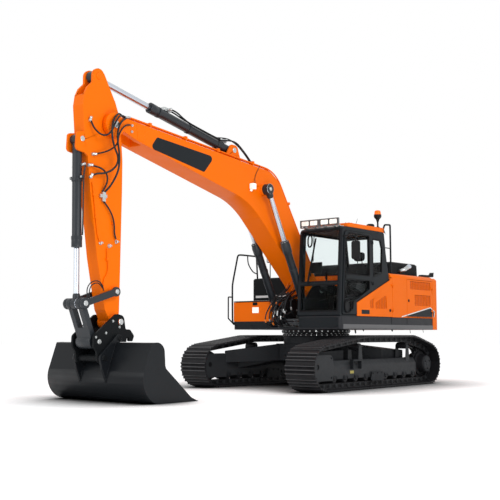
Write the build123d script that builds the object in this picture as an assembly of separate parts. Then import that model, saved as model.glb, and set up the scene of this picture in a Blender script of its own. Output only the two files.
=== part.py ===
"""Crawler excavator with a 5.7 m boom, a 2.9 m arm, a quick coupler and a wide smooth-lipped bucket.

Frame, in millimetres: +X is the working direction, +Y the cab side, +Z up. The origin lies on the
ground under the slew axis. The side outlines are (x, z) points of the machine as it is parked, with the
arm hanging down and the bucket flat on the ground.
"""
from build123d import *
from math import acos, atan2, cos, hypot, pi, radians, sin, tan
import os

os.makedirs("parts", exist_ok=True)

# Clearances
SEAT = 0.3            # between curved faces that seat on each other
PIN_FIT = 0.05        # radial clearance of a pivot pin in its bore
SIDE_GAP = 6.0        # sideways room beside a pivoting eye

# Crawler tracks
AXLE_X = 1825.0       # idler and sprocket centres, ahead of and behind the slew axis
AXLE_Z = 397.5
TRACK_Y = 1195.0      # middle of each track
SHOE_WIDTH = 600.0
SHOE_COUNT = 49
PIN_LINE_R = 310.0    # chain pin line round the sprocket and the idler
SHOE_SEAT = 49.5      # from the pin line out to the shoe plate
SHOE_PLATE = 12.0
GROUSER = AXLE_Z - PIN_LINE_R - SHOE_SEAT - SHOE_PLATE
LINK_DEPTH = 45.0     # from the pin line in to the face that the rollers run on
LINK_IN, LINK_OUT = 45.0, 95.0      # each link row lies between these distances from the track's middle
CARRIERS = ((500.0, 752.0), (-1200.0, 752.0))     # x, z of the carrier rollers
CARRIER_R = 70.0
CARRIER_HALF = 105.0     # half the length of a carrier roller with its shaft
ROLLER_R = 80.0
ROLLER_COUNT = 9
ROLLER_INSET = 455.0   # from the idler's and the sprocket's centre to the nearest track roller
ROLLER_HALF = 125.0   # half the length of a roller with its shaft, where it seats on the frame's sides

# Track frames and car body
FRAME_HALF = 140.0
FRAME_BOTTOM, FRAME_TOP = 200.0, 520.0
CHANNEL_TOP = 318.0
FRAME_REAR, FRAME_FRONT = -1480.0, 1440.0
BELLY_Z, SHOULDER_Z, BODY_TOP_Z = 480.0, 790.0, 930.0
BODY_HALF_X, BODY_HALF_Y = 620.0, 480.0
RING_R, RING_INNER_R = 640.0, 500.0
RING_SPLIT = 984.0       # top of the ring's fixed half

LASHING_HOLE = (1900.0, 420.0)
LASHING_R = 45.0

# Upper structure
DECK_Z, FLOOR_Z, DECK_TOP = 1060.0, 1100.0, 1290.0
DECK_REAR = -2200.0
HOUSE_HALF = 1355.0
DECK_HALF = HOUSE_HALF - 10.0
BOX_FLOOR = 1215.0       # top of the deck's rim below the tool box
BOOM_HALF = 215.0
BRACKET_IN, BRACKET_OUT = BOOM_HALF + 10.0, BOOM_HALF + 47.0    # each plate of the boom's bracket
BOOM_CYL_Y = BOOM_HALF + 121.0            # middle of each boom cylinder
WELL_HALF = BOOM_CYL_Y + 94.0             # half the free width between the cab and the right-hand boxes
HOUSE_FRONT = -530.0
ROOF_Z = 2125.0
SKIN = 20.0              # sheet of the bodywork and its doors
TAIL_SIDE = 193.0        # straight side of the counterweight, behind the deck
TAIL_R = hypot(DECK_REAR - TAIL_SIDE, HOUSE_HALF)
DOOR_GAP = 8.0
HINGE_PIN_R, HINGE_EYE_R = 6.0, 11.0
HINGE_OUT = 12.0         # from a door's face out to its hinge's axis
HINGE_Z = (1420.0, 1880.0)
PANEL_SEAM, DOOR_SEAM = -595.0, -1146.0   # x of the left-hand seams
DOOR_Z0, DOOR_Z1 = 1300.0, 2040.0
VENT_DEEP = 9.0          # recess of the grilles in the bodywork
SLAT_DROP = 3.0          # from the bodywork's face in to its grilles' slats
SLAT_PITCH, SLAT_WIDE = 62.0, 14.0

# Cab
CAB_Y0, CAB_Y1 = WELL_HALF - 10.0, HOUSE_HALF - 20.0
CAB_MIDDLE = (CAB_Y0 + CAB_Y1) / 2
SEAT_HALF = CAB_MIDDLE - CAB_Y0 - 207.5
CAB_WALL = 40.0
CAB_TOP = 2880.0
ROOF_CROWN = CAB_TOP + 86.0
DOOR_Y0, DOOR_Y1 = CAB_Y1 - 38.0, CAB_Y1 + 15.0
GLASS = 6.0
TUBE_R = 17.0            # handrails
RAIL_OUT = 45.0          # from the deck's side out to the climbing rail's middle

# Pivots of the working gear, as (x, z)
BOOM_FOOT = (220.0, 1800.0)
ARM_PIVOT = (5440.0, 4060.0)
ARM_TIP = (5320.0, 1150.0)
BOOM_CYL_BASE = (700.0, 1220.0)
BOOM_CYL_EYE = (1930.0, 3520.0)
ARM_CYL_BASE = (2600.0, 4140.0)
ARM_CYL_EYE = (5690.0, 4755.0)
BUCKET_CYL_BASE = (5985.0, 3770.0)
LINK_TOP = (5945.0, 1405.0)
GUIDE_FOOT = (5355.0, 1590.0)
COUPLER_PIN = (5724.0, 864.0)

GLAND_STEP = 8.0         # from a barrel out to its gland's collar
ARM_HALF = 115.0
TIP_HALF = 150.0         # half the width of the arm's tip and of the bucket link
BAR_IN, BAR_OUT = 156.0, 204.0            # each guide bar, from the machine's middle
PLATE_IN, PLATE_OUT = 210.0, 250.0        # each coupler plate
EAR_IN, EAR_OUT = 256.0, 298.0            # each bucket ear
PIN_R, LINK_PIN_R, HEAD_PIN_R = 45.0, 35.0, 40.0
FRONT_PIN, REAR_PIN = (5375.0, 915.0), (5670.0, 630.0)     # the bucket's own pins
BUCKET_HALF = 1033.0


def outline(corners, place):
    """A flat face with rounded corners, from (u, v, radius) corners put in space by place(u, v)."""
    edges = []
    last = None
    first = None
    for index, (u, v, radius) in enumerate(corners):
        pu, pv = corners[index - 1][:2]
        nu, nv = corners[(index + 1) % len(corners)][:2]
        if radius:
            to_last, to_next = atan2(pv - v, pu - u), atan2(nv - v, nu - u)
            half = abs((to_next - to_last + pi) % (2 * pi) - pi) / 2
            reach = radius / tan(half)
            middle = atan2(sin(to_last) + sin(to_next), cos(to_last) + cos(to_next))
            depth = radius / sin(half) - radius
            start = (u + reach * cos(to_last), v + reach * sin(to_last))
            end = (u + reach * cos(to_next), v + reach * sin(to_next))
            crown = (u + depth * cos(middle), v + depth * sin(middle))
        else:
            start = end = (u, v)
        if last:
            edges.append(Line(place(*last), place(*start)))
        if radius:
            edges.append(ThreePointArc(place(*start), place(*crown), place(*end)))
        first = first or start
        last = end
    edges.append(Line(place(*last), place(*first)))
    return Face(Wire([edge for line in edges for edge in line.edges()]))


def side(corners, y_low, y_high):
    """A plate cut to a rounded side outline of (x, z, radius), between two y planes."""
    face = outline(corners, lambda x, z: (x, y_low, z))
    return Solid.extrude(face, Vector(0, y_high - y_low, 0))


def plan(corners, z_low, z_high):
    """A plate cut to a rounded plan outline of (x, y, radius), between two heights."""
    face = outline(corners, lambda x, y: (x, y, z_low))
    return Solid.extrude(face, Vector(0, 0, z_high - z_low))


def section(corners, x_low, x_high):
    """A bar of a rounded (y, z, radius) section, between two x planes."""
    face = outline(corners, lambda y, z: (x_low, y, z))
    return Solid.extrude(face, Vector(x_high - x_low, 0, 0))


def both(shape):
    """The shape and its mirror image on the other side of the machine."""
    return [shape, mirror_y(shape)]


def side_face(points, y):
    """A flat face in the plane y through (x, z) points."""
    return Face(Wire(Polyline(*[(x, y, z) for x, z in points], close=True).edges()))


def side_plate(points, y_low, y_high):
    """A plate cut to a side outline, between two y planes."""
    return Solid.extrude(side_face(points, y_low), Vector(0, y_high - y_low, 0))


def box(x0, x1, y0, y1, z0, z1):
    """A block between two corners."""
    return Pos((x0 + x1) / 2, (y0 + y1) / 2, (z0 + z1) / 2) * Box(x1 - x0, y1 - y0, z1 - z0)


def bar(start, end, radius):
    """A round bar from one point to another."""
    along = Vector(*end) - Vector(*start)
    plane = Plane(origin=start, z_dir=along)
    return plane * Cylinder(radius, along.length, align=(Align.CENTER, Align.CENTER, Align.MIN))


def cross_bar(pivot, radius, y_low, y_high):
    """A round bar across the machine, centred on an (x, z) pivot."""
    return bar((pivot[0], y_low, pivot[1]), (pivot[0], y_high, pivot[1]), radius)


def tube_run(points, radius, cut):
    """A round bar along points in space, with a short run across each corner and mitres at its ends."""
    path = [points[0]]
    for before, corner, after in zip(points, points[1:], points[2:]):
        for end in (before, after):
            way = Vector(*end) - Vector(*corner)
            path.append(tuple(Vector(*corner) + way.normalized() * cut))
    path.append(points[-1])
    line = Polyline(*path)
    section = Plane(origin=line @ 0, z_dir=line % 0) * Circle(radius)
    return sweep(section, path=line, transition=Transition.RIGHT)


def mirror_y(shape):
    """The same shape on the other side of the machine."""
    return mirror(shape, about=Plane.XZ)


def save(name, *solids):
    """Write the solids of one node to its own file."""
    flat = [solid for shape in solids for solid in shape.solids()]
    export_step(Compound(children=flat) if len(flat) > 1 else flat[0], f"parts/{name}.step")


def towards(start, end, distance):
    """The (x, z) point at a distance from start on the way to end."""
    length = hypot(end[0] - start[0], end[1] - start[1])
    return (
        start[0] + (end[0] - start[0]) * distance / length,
        start[1] + (end[1] - start[1]) * distance / length,
    )


def beside(start, end, along, across):
    """The (x, z) point a distance along the line from start to end, and across to its left."""
    length = hypot(end[0] - start[0], end[1] - start[1])
    ux, uz = (end[0] - start[0]) / length, (end[1] - start[1]) / length
    return (start[0] + ux * along - uz * across, start[1] + uz * along + ux * across)


# Crawler tracks


def belt_runs(radius_change):
    """The arcs of the chain's pin line round its wheels, as (centre, radius, from angle, to angle)."""
    wheels = [((AXLE_X, AXLE_Z), PIN_LINE_R + radius_change)]
    wheels += [(centre, CARRIER_R + LINK_DEPTH + radius_change) for centre in CARRIERS]
    wheels += [((-AXLE_X, AXLE_Z), PIN_LINE_R + radius_change)]
    leave = []
    for (c0, r0), (c1, r1) in zip(wheels, wheels[1:] + wheels[:1]):
        dx, dz = c1[0] - c0[0], c1[1] - c0[1]
        leave.append(atan2(dz, dx) - acos((r0 - r1) / hypot(dx, dz)))
    runs = []
    for index, (centre, radius) in enumerate(wheels):
        start, end = leave[index - 1], leave[index]
        while end < start:
            end += 2 * pi
        runs.append((centre, radius, start, end))
    return runs


def chain_pins():
    """The pins of the chain, evenly spaced along the pin line."""
    pieces = []
    runs = belt_runs(0.0)
    for index, (centre, radius, start, end) in enumerate(runs):
        pieces.append(("arc", centre, radius, start, end, radius * (end - start)))
        after, after_r, after_start = runs[(index + 1) % len(runs)][:3]
        p = (centre[0] + radius * cos(end), centre[1] + radius * sin(end))
        q = (after[0] + after_r * cos(after_start), after[1] + after_r * sin(after_start))
        pieces.append(("line", p, q, 0.0, 0.0, hypot(q[0] - p[0], q[1] - p[1])))
    total = sum(piece[5] for piece in pieces)
    pins = []
    for number in range(SHOE_COUNT):
        left = total * number / SHOE_COUNT
        for kind, first, second, start, end, length in pieces:
            if left <= length:
                break
            left -= length
        if kind == "arc":
            angle = start + left / second
            pins.append((first[0] + second * cos(angle), first[1] + second * sin(angle)))
        else:
            pins.append(towards(first, second, left))
    return pins


# Outline of one shoe: share of the pitch, height above the plate
SHOE_PROFILE = (
    (0.04, 0.0), (0.10, 1.0), (0.18, 1.0), (0.31, 0.0), (0.46, 1.0),
    (0.54, 1.0), (0.69, 0.0), (0.82, 1.0), (0.90, 1.0), (0.96, 0.0),
)


def shoe_outline(pins):
    """The whole loop's outer outline, shoe by shoe."""
    points = []
    for p, q in zip(pins, pins[1:] + pins[:1]):
        pitch = hypot(q[0] - p[0], q[1] - p[1])
        for share, height in SHOE_PROFILE:
            points.append(beside(p, q, share * pitch, -SHOE_SEAT - SHOE_PLATE - height * GROUSER))
    return points


def loop_at(pins, outward):
    """The pin polygon moved outward, with a corner at each pin."""
    points = []
    for before, pin, after in zip(pins[-1:] + pins[:-1], pins, pins[1:] + pins[:1]):
        across = atan2(after[1] - before[1], after[0] - before[0]) - pi / 2
        points.append((pin[0] + outward * cos(across), pin[1] + outward * sin(across)))
    return points


def ring(outer, inner, y_low, y_high):
    """A closed band between two side outlines."""
    outside = Wire(Polyline(*[(x, y_low, z) for x, z in outer], close=True).edges())
    inside = Wire(Polyline(*[(x, y_low, z) for x, z in inner], close=True).edges())
    return Solid.extrude(Face(outside, [inside]), Vector(0, y_high - y_low, 0))


def track():
    """One chain with its shoes, closed, as it lies on the left-hand side."""
    pins = chain_pins()
    half = SHOE_WIDTH / 2
    seat = loop_at(pins, SHOE_SEAT)
    band = ring(shoe_outline(pins), seat, TRACK_Y - half, TRACK_Y + half)
    inner = loop_at(pins, -LINK_DEPTH)
    for hand in (-1, 1):
        y0, y1 = sorted((TRACK_Y + hand * LINK_IN, TRACK_Y + hand * LINK_OUT))
        band = band.fuse(ring(seat, inner, y0, y1))
    return band


def wheel_profile(stations, centre_x, centre_z):
    """A turned wheel on the left-hand side, from (distance from the track's middle, radius) stations."""
    points = [(0.0, stations[0][0])] + [(r, y) for y, r in stations] + [(0.0, stations[-1][0])]
    plane = Plane(origin=(centre_x, TRACK_Y, centre_z), x_dir=(1, 0, 0), z_dir=(0, 1, 0))
    half = Face(Wire(Polyline(*[(r, 0, y) for r, y in points], close=True).edges()))
    return plane * Solid.revolve(half, 360, Axis.Z)


RUN_R = 249.0            # idler tread, under the flats of the chain
IDLER_STATIONS = (
    (-100.0, 110.0), (-92.0, RUN_R - 60.0), (-92.0, RUN_R), (-40.0, RUN_R), (-36.0, RUN_R + 24.0),
    (36.0, RUN_R + 24.0), (40.0, RUN_R), (92.0, RUN_R), (92.0, RUN_R - 60.0), (100.0, 110.0),
)
MOTOR_PLATE = 4.0        # of the track frame's side that the final drive seats on
HUB_STATIONS = (
    (-FRAME_HALF + MOTOR_PLATE + SEAT, 200.0), (30.0, 200.0), (34.0, 235.0), (60.0, 235.0),
    (66.0, 180.0), (190.0, 165.0), (205.0, 150.0),
)
SPROCKET_TEETH = 21
SPROCKET_HALF = 32.0
# One sprocket tooth: share of the pitch, radius
TOOTH = ((-0.30, 272.0), (-0.12, 318.0), (0.12, 318.0), (0.30, 272.0))


def idler():
    """Front guide wheel with its shaft."""
    wheel = wheel_profile(IDLER_STATIONS, AXLE_X, AXLE_Z)
    shaft = cross_bar((AXLE_X, AXLE_Z), 45.0, TRACK_Y - ROLLER_HALF, TRACK_Y + ROLLER_HALF)
    return wheel.fuse(shaft)


def final_drive():
    """Sprocket with the travel drive that carries it."""
    pitch = 360 / SPROCKET_TEETH
    teeth = []
    for tooth in range(SPROCKET_TEETH):
        for share, radius in TOOTH:
            angle = radians((tooth + share) * pitch)
            teeth.append((-AXLE_X + radius * cos(angle), AXLE_Z + radius * sin(angle)))
    disc = side_plate(teeth, TRACK_Y - SPROCKET_HALF, TRACK_Y + SPROCKET_HALF)
    return wheel_profile(HUB_STATIONS, -AXLE_X, AXLE_Z).fuse(disc)


def rollers():
    """Track rollers below the frame and carrier rollers above it."""
    low_z = AXLE_Z - PIN_LINE_R + LINK_DEPTH + ROLLER_R + SEAT
    first = -AXLE_X + ROLLER_INSET
    step = -2 * first / (ROLLER_COUNT - 1)
    made = []
    for number in range(ROLLER_COUNT):
        centre = (first + number * step, low_z)
        made.append(cross_bar(centre, ROLLER_R, TRACK_Y - ROLLER_HALF, TRACK_Y + ROLLER_HALF))
    for centre in CARRIERS:
        made.append(cross_bar(centre, CARRIER_R - 10.0, TRACK_Y - CARRIER_HALF, TRACK_Y + CARRIER_HALF))
    return made


def track_frame():
    """Box frame that carries the rollers, the idler and the final drive, on the left-hand side."""
    y0, y1 = TRACK_Y - FRAME_HALF, TRACK_Y + FRAME_HALF
    wall = FRAME_HALF - ROLLER_HALF
    cross = [
        (y0, FRAME_BOTTOM), (y0, 430.0), (y0 + 60.0, FRAME_TOP), (y1 - 60.0, FRAME_TOP), (y1, 430.0),
        (y1, FRAME_BOTTOM), (y1 - wall, FRAME_BOTTOM), (y1 - wall, CHANNEL_TOP), (y0 + wall, CHANNEL_TOP),
        (y0 + wall, FRAME_BOTTOM),
    ]
    face = Face(Wire(Polyline(*[(FRAME_REAR, y, z) for y, z in cross], close=True).edges()))
    frame = Solid.extrude(face, Vector(FRAME_FRONT - FRAME_REAR, 0, 0))
    # Fork that holds the idler's shaft
    for hand in (-1, 1):
        a, b = sorted((TRACK_Y + hand * ROLLER_HALF, TRACK_Y + hand * FRAME_HALF))
        fork = [(FRAME_FRONT - 40.0, 240.0), (1990.0, 300.0), (1990.0, 490.0), (FRAME_FRONT - 40.0, 500.0)]
        frame = frame.fuse(side_plate(fork, a, b))
        # Upright of the carrier rollers
        c, d = sorted((TRACK_Y + hand * CARRIER_HALF, TRACK_Y + hand * (CARRIER_HALF + 15.0)))
        for x, z in CARRIERS:
            foot = FRAME_TOP - 70.0
            post = [(x - 75.0, foot), (x + 75.0, foot), (x + 45.0, z + 20.0), (x - 45.0, z + 20.0)]
            frame = frame.fuse(side_plate(post, c, d))
    # Mounting plate of the final drive, on the inner side
    start = FRAME_REAR + 20.0
    end = -AXLE_X - 60.0
    motor = [(start, 230.0), (start, 500.0), (end, 560.0), (end - 90.0, AXLE_Z), (end, 240.0)]
    return frame.fuse(side_plate(motor, y0 - 40.0, y0 + MOTOR_PLATE))


def car_body():
    """Centre section with the slew ring's seat and four legs to the track frames."""
    body = box(-BODY_HALF_X, BODY_HALF_X, -BODY_HALF_Y, BODY_HALF_Y, BELLY_Z, SHOULDER_Z)
    body = body.fuse(bar((0, 0, SHOULDER_Z - 30.0), (0, 0, BODY_TOP_Z), RING_R - 20.0))
    reach = TRACK_Y - FRAME_HALF
    root_in, root_out = 170.0, BODY_HALF_X
    foot_in, foot_out = 640.0, 1080.0
    foot_low, foot_high = 330.0, 425.0
    for sx in (-1, 1):
        near = [(root_in, BELLY_Z), (root_out, BELLY_Z), (root_out, SHOULDER_Z), (root_in, SHOULDER_Z)]
        far = [(foot_in, foot_low), (foot_out, foot_low), (foot_out, foot_high), (foot_in, foot_high)]
        near = [(sx * x, z) for x, z in near]
        far = [(sx * x, z) for x, z in far]
        for sy in (-1, 1):
            leg = loft([side_face(near, sy * (BODY_HALF_Y - 1.0)), side_face(far, sy * reach)], ruled=True)
            body = body.fuse(leg)
    return body


def idler_guard():
    """Square plate over the idler's fork, with the lashing hole."""
    y0, y1 = TRACK_Y + FRAME_HALF, TRACK_Y + FRAME_HALF + 20.0
    square = [
        (1440.0, 180.0), (1970.0, 180.0), (2010.0, 230.0), (2010.0, 560.0), (1950.0, 620.0), (1500.0, 620.0),
        (1440.0, 560.0),
    ]
    plate = side_plate(square, y0, y1)
    return plate.cut(cross_bar(LASHING_HOLE, LASHING_R, y0 - 1.0, y1 + 1.0))


# Hinges of the doors and lids
REAR_HINGE_X = DECK_REAR + 24.0
LID_Z = 1608.0           # top of the tool box's lid
LID_AXIS = (312.0, LID_Z + HINGE_OUT)     # x, z
HOOD_REAR, HOOD_FRONT = -2150.0, -1000.0
HOOD_Y0 = -750.0
HOOD_Y1 = HOUSE_HALF - 305.0
HOOD_Z = 2395.0
HOOD_AXIS = (HOOD_REAR - 16.0, ROOF_Z + HINGE_OUT + 1)
CAB_HINGE_X = 104.0


def hinge(place, axis, leaf, lug):
    """A pinned hinge at a place: its moving eye with a leaf, and its pin with a lug, both given as blocks."""
    start = Vector(*place)
    way = Vector(*axis)

    def rod(low, high, radius):
        return bar(tuple(start + way * low), tuple(start + way * high), radius)

    eye = rod(2, 30, HINGE_EYE_R).fuse(leaf).cut(rod(0, 32, HINGE_PIN_R + PIN_FIT))
    pin = rod(-30, 30, HINGE_PIN_R).fuse(rod(-30, -2, HINGE_EYE_R)).fuse(lug)
    return eye, pin


def door_hinges(seam, face, heights):
    """Hinges on the outside of an upright door whose leaf lies ahead of its seam."""
    y = face + HINGE_OUT
    made = []
    for z in heights:
        leaf = box(seam, seam + 45, face - 1, y, z + 2, z + 30)
        lug = box(seam - 12, seam, face - 1, y, z - 30, z - 2)
        made.append(hinge((seam, y, z), (0, 0, 1), leaf, lug))
    return [eye for eye, pin in made], [pin for eye, pin in made]


def flat_hinges(pivot, places, leaf_long, lug_z):
    """Hinges across the machine at an (x, z) pivot, with the leaf ahead of it and the lug behind."""
    x, z = pivot
    made = []
    for y in places:
        leaf = box(x, x + leaf_long, y + 2, y + 30, z - HINGE_OUT - 1, z)
        lug = box(x - 23, x, y - 30, y - 2, lug_z, z)
        made.append(hinge((x, y, z), (0, 1, 0), leaf, lug))
    return [eye for eye, pin in made], [pin for eye, pin in made]


def cab_hinges():
    """Hinges of the cab door, whose lugs reach in to the cab's wall."""
    made = []
    for z in (1900.0, 2650.0):
        leaf = box(CAB_HINGE_X, CAB_HINGE_X + 50, DOOR_Y1 - 1, DOOR_Y1 + HINGE_OUT, z + 2, z + 30)
        lug = box(CAB_HINGE_X - 12, CAB_HINGE_X + 10, CAB_Y1 - 1, DOOR_Y1 + HINGE_OUT, z - 30, z - 2)
        made.append(hinge((CAB_HINGE_X, DOOR_Y1 + HINGE_OUT, z), (0, 0, 1), leaf, lug))
    return [eye for eye, pin in made], [pin for eye, pin in made]


LEFT_FRONT_HINGES = door_hinges(PANEL_SEAM + DOOR_GAP / 2, HOUSE_HALF, HINGE_Z)
LEFT_REAR_HINGES = door_hinges(REAR_HINGE_X, HOUSE_HALF, HINGE_Z)
CAB_HINGES = cab_hinges()
LID_HINGES = flat_hinges(LID_AXIS, (-DECK_HALF + 95.0, -WELL_HALF - 170.0), 40, LID_Z + 2)
HOOD_HINGES = flat_hinges(HOOD_AXIS, (HOOD_Y0 + 150.0, HOOD_Y1 - 150.0), 28, ROOF_Z - 1)


# Upper structure


def swing_bearing():
    """Fixed half of the slew ring, on the car body."""
    outer = Cylinder(RING_R, RING_SPLIT - BODY_TOP_Z, align=(Align.CENTER, Align.CENTER, Align.MIN))
    inner = Cylinder(RING_INNER_R, RING_SPLIT, align=(Align.CENTER, Align.CENTER, Align.MIN))
    return Pos(0, 0, BODY_TOP_Z) * outer.cut(inner)


def deck():
    """Revolving frame with its rim, the boom's bracket and the turning half of the slew ring."""
    edge = [
        (DECK_REAR, DECK_HALF, 0), (1185, DECK_HALF, 60), (1185, WELL_HALF, 0), (880, WELL_HALF, 0),
        (880, -DECK_HALF, 60), (DECK_REAR, -DECK_HALF, 0),
    ]
    inside = [
        (DECK_REAR + 45, DECK_HALF - 45, 0), (1140, DECK_HALF - 45, 20), (1140, WELL_HALF + 30, 0),
        (835, WELL_HALF + 30, 0), (835, -DECK_HALF + 45, 20), (DECK_REAR + 45, -DECK_HALF + 45, 0),
    ]
    frame = plan(edge, DECK_Z, DECK_TOP).cut(plan(inside, FLOOR_Z, DECK_TOP + 10))
    frame = frame.cut(box(600, 1300, -WELL_HALF, WELL_HALF + 31, FLOOR_Z, DECK_TOP + 10))
    frame = frame.cut(box(300, 900, -HOUSE_HALF - 45, -WELL_HALF, BOX_FLOOR, DECK_TOP + 10))
    turning = Cylinder(560, DECK_Z - RING_SPLIT + 1, align=(Align.CENTER, Align.CENTER, Align.MIN))
    turning = turning.cut(Cylinder(470, DECK_Z, align=(Align.CENTER, Align.CENTER, Align.MIN)))
    frame = frame.fuse(Pos(0, 0, RING_SPLIT + SEAT) * turning)
    bracket = [
        (-510, FLOOR_Z - 5, 0), (-240, 1700, 60), (60, 1950, 90), (360, 1950, 90), (900, 1420, 60),
        (870, FLOOR_Z - 5, 0),
    ]
    frame = frame.fuse(*both(side(bracket, BRACKET_IN, BRACKET_OUT)))
    frame = frame.fuse(box(-420, -380, -BRACKET_IN, BRACKET_IN, FLOOR_Z - 5, 1420))
    frame = frame.fuse(cross_bar(BOOM_FOOT, PIN_R, -BRACKET_OUT - 23, BRACKET_OUT + 23))
    return frame.fuse(*both(cross_bar(BOOM_CYL_BASE, PIN_R, BRACKET_OUT - 2, BOOM_CYL_Y + 74)))


def counterweight():
    """Cast tail, round in plan about the slew axis."""
    corner = (TAIL_R**2 - HOUSE_HALF**2) ** 0.5
    bottom, top = DECK_Z, ROOF_Z - 20
    start, crown, end = (-corner, HOUSE_HALF, bottom), (-TAIL_R, 0, bottom), (-corner, -HOUSE_HALF, bottom)
    edges = [
        ThreePointArc(start, crown, end), Line(end, (DECK_REAR, -HOUSE_HALF, bottom)),
        Line((DECK_REAR, -HOUSE_HALF, bottom), (DECK_REAR, HOUSE_HALF, bottom)),
        Line((DECK_REAR, HOUSE_HALF, bottom), start),
    ]
    face = Face(Wire([edge for line in edges for edge in line.edges()]))
    block = Solid.extrude(face, Vector(0, 0, top - bottom))
    posts = [edge for edge in block.edges() if abs(edge.center().X + corner) < 5 and edge.length > 500]
    block = block.fillet(70, posts)
    rim = [edge for edge in block.edges() if edge.center().Z > top - 1 and edge.center().X < DECK_REAR - 50]
    return block.chamfer(40, None, rim)


def engine():
    """Plain block for the engine and its pumps."""
    return box(-2050, -1350, -500, 500, FLOOR_Z, 1900)


def house_shell():
    """Engine bodywork: roof, shoulders, bulkhead and the sheets round the doors."""
    wide, half, top = HOUSE_HALF, HOUSE_HALF - SKIN, ROOF_Z - SKIN
    outer = [(-wide, DECK_TOP, 0), (-wide, ROOF_Z, 80), (wide, ROOF_Z, 80), (wide, DECK_TOP, 0)]
    inner = [(-half, DECK_TOP - 5, 0), (-half, top, 60), (half, top, 60), (half, DECK_TOP - 5, 0)]
    shell = section(outer, DECK_REAR, HOUSE_FRONT).cut(section(inner, DECK_REAR - 5, HOUSE_FRONT - SKIN))
    deep = HOUSE_HALF - SKIN - 1
    shell = shell.cut(box(DECK_REAR + 20, DOOR_SEAM, deep, HOUSE_HALF + 1, DOOR_Z0, DOOR_Z1))
    shell = shell.cut(box(PANEL_SEAM, HOUSE_FRONT + 1, deep - 10, HOUSE_HALF + 1, DECK_TOP - 5, DOOR_Z1))
    shell = shell.cut(box(DECK_REAR + 20, DOOR_SEAM, -HOUSE_HALF - 1, -deep, DOOR_Z0, DOOR_Z1))
    shell = shell.cut(box(HOOD_REAR + 50, HOOD_FRONT - 50, HOOD_Y0 + 50, HOOD_Y1 - 50, top - 5, ROOF_Z + 1))
    pins = LEFT_FRONT_HINGES[1] + LEFT_REAR_HINGES[1] + [mirror_y(pin) for pin in LEFT_REAR_HINGES[1]]
    return shell.fuse(*pins, *HOOD_HINGES[1])


# Grilles, as (x, z, corner radius) outlines
UPPER_VENT = ((-2110, 1850, 20), (-2110, 2008, 20), (-1285, 2008, 20), (-1285, 1850, 20))
LOWER_VENT = ((-2105, 1535, 20), (-2105, 1745, 20), (-1455, 1745, 20), (-1455, 1535, 20))
SLANT_VENT = ((-385, 1447, 20), (-368, 1700, 30), (20, 1556, 30), (20, 1445, 20))
SMALL_VENT = ((92, 1448, 10), (92, 1618, 10), (205, 1590, 10), (205, 1448, 10))


def with_grille(panel, edge, face):
    """A panel with a recess of that outline in its left-hand face, and upright slats in the recess."""
    low, high = min(corner[0] for corner in edge), max(corner[0] for corner in edge)
    panel = panel.cut(side(edge, face - VENT_DEEP, face + 1))
    filling = side(edge, face - VENT_DEEP - 1, face - SLAT_DROP)
    count = round((high - low) / SLAT_PITCH) - 1
    step = (high - low) / (count + 1)
    gaps = []
    for number in range(count + 1):
        start = low + number * step + (SLAT_WIDE / 2 if number else 0)
        end = low + (number + 1) * step - (SLAT_WIDE / 2 if number < count else 0)
        gaps.append(box(start, end, face - VENT_DEEP - 2, face, ROOF_Z - 1000, ROOF_Z))
    return panel.fuse(filling.cut(*gaps))


def left_front_door():
    """Side panel below and behind the cab, cut along the cab's slanting sill."""
    edge = [
        (PANEL_SEAM + DOOR_GAP, DECK_TOP + 6, 0), (PANEL_SEAM + DOOR_GAP, DOOR_Z1 - DOOR_GAP, 30),
        (HOUSE_FRONT, DOOR_Z1 - DOOR_GAP, 20), (-505, 1985, 20), (655, 1532, 20), (655, DECK_TOP + 6, 10),
    ]
    leaf = side(edge, CAB_Y1 + 5, HOUSE_HALF)
    for vent in (SLANT_VENT, SMALL_VENT):
        leaf = with_grille(leaf, vent, HOUSE_HALF)
    return leaf.fuse(*LEFT_FRONT_HINGES[0])


def rear_door():
    """Louvred engine door, on the left-hand side."""
    z0, z1 = DOOR_Z0 + DOOR_GAP, DOOR_Z1 - DOOR_GAP
    leaf = box(REAR_HINGE_X + DOOR_GAP / 2, DOOR_SEAM - DOOR_GAP, HOUSE_HALF - SKIN, HOUSE_HALF, z0, z1)
    for vent in (UPPER_VENT, LOWER_VENT):
        leaf = with_grille(leaf, vent, HOUSE_HALF)
    return leaf.fuse(*LEFT_REAR_HINGES[0])


def engine_hood():
    """Raised lid over the engine, hinged at its rear edge."""
    wall = 15
    foot = ROOF_Z + 5
    outer = [
        (HOOD_REAR, foot, 0), (HOOD_REAR + 20, HOOD_Z, 70),
        (HOOD_FRONT - 50, HOOD_Z, 110), (HOOD_FRONT, foot, 0),
    ]
    inner = [
        (HOOD_REAR + wall, foot - 5, 0), (HOOD_REAR + wall + 20, HOOD_Z - wall, 55),
        (HOOD_FRONT - wall - 50, HOOD_Z - wall, 95), (HOOD_FRONT - wall, foot - 5, 0),
    ]
    hood = side(outer, HOOD_Y0, HOOD_Y1)
    top = [edge for edge in hood.edges() if edge.center().Y > HOOD_Y1 - 1 and edge.center().Z > HOOD_Z - 1]
    hood = hood.chamfer(25, None, top)
    return hood.cut(side(inner, HOOD_Y0 + wall, HOOD_Y1 - wall)).fuse(*HOOD_HINGES[0])


def exhaust():
    """Tail pipe that leaves the hood through its left side and bends back."""
    path = [(-1400, HOOD_Y1 + SEAT, 2225), (-1400, HOOD_Y1 + 85, 2225), (-1600, HOOD_Y1 + 115, 2320)]
    return tube_run(path, 42, 40)


def tail_guard():
    """Low guard along the roof's left-hand rear corner, with its end turned up."""
    edge = [
        (-1900, ROOF_Z, 0), (-1960, 2170, 20), (-2350, 2178, 20), (-2425, 2235, 10), (-2450, 2235, 5),
        (-2440, 2145, 15), (-2200, ROOF_Z, 0),
    ]
    return side(edge, HOUSE_HALF - 175, HOUSE_HALF - 95)


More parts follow.
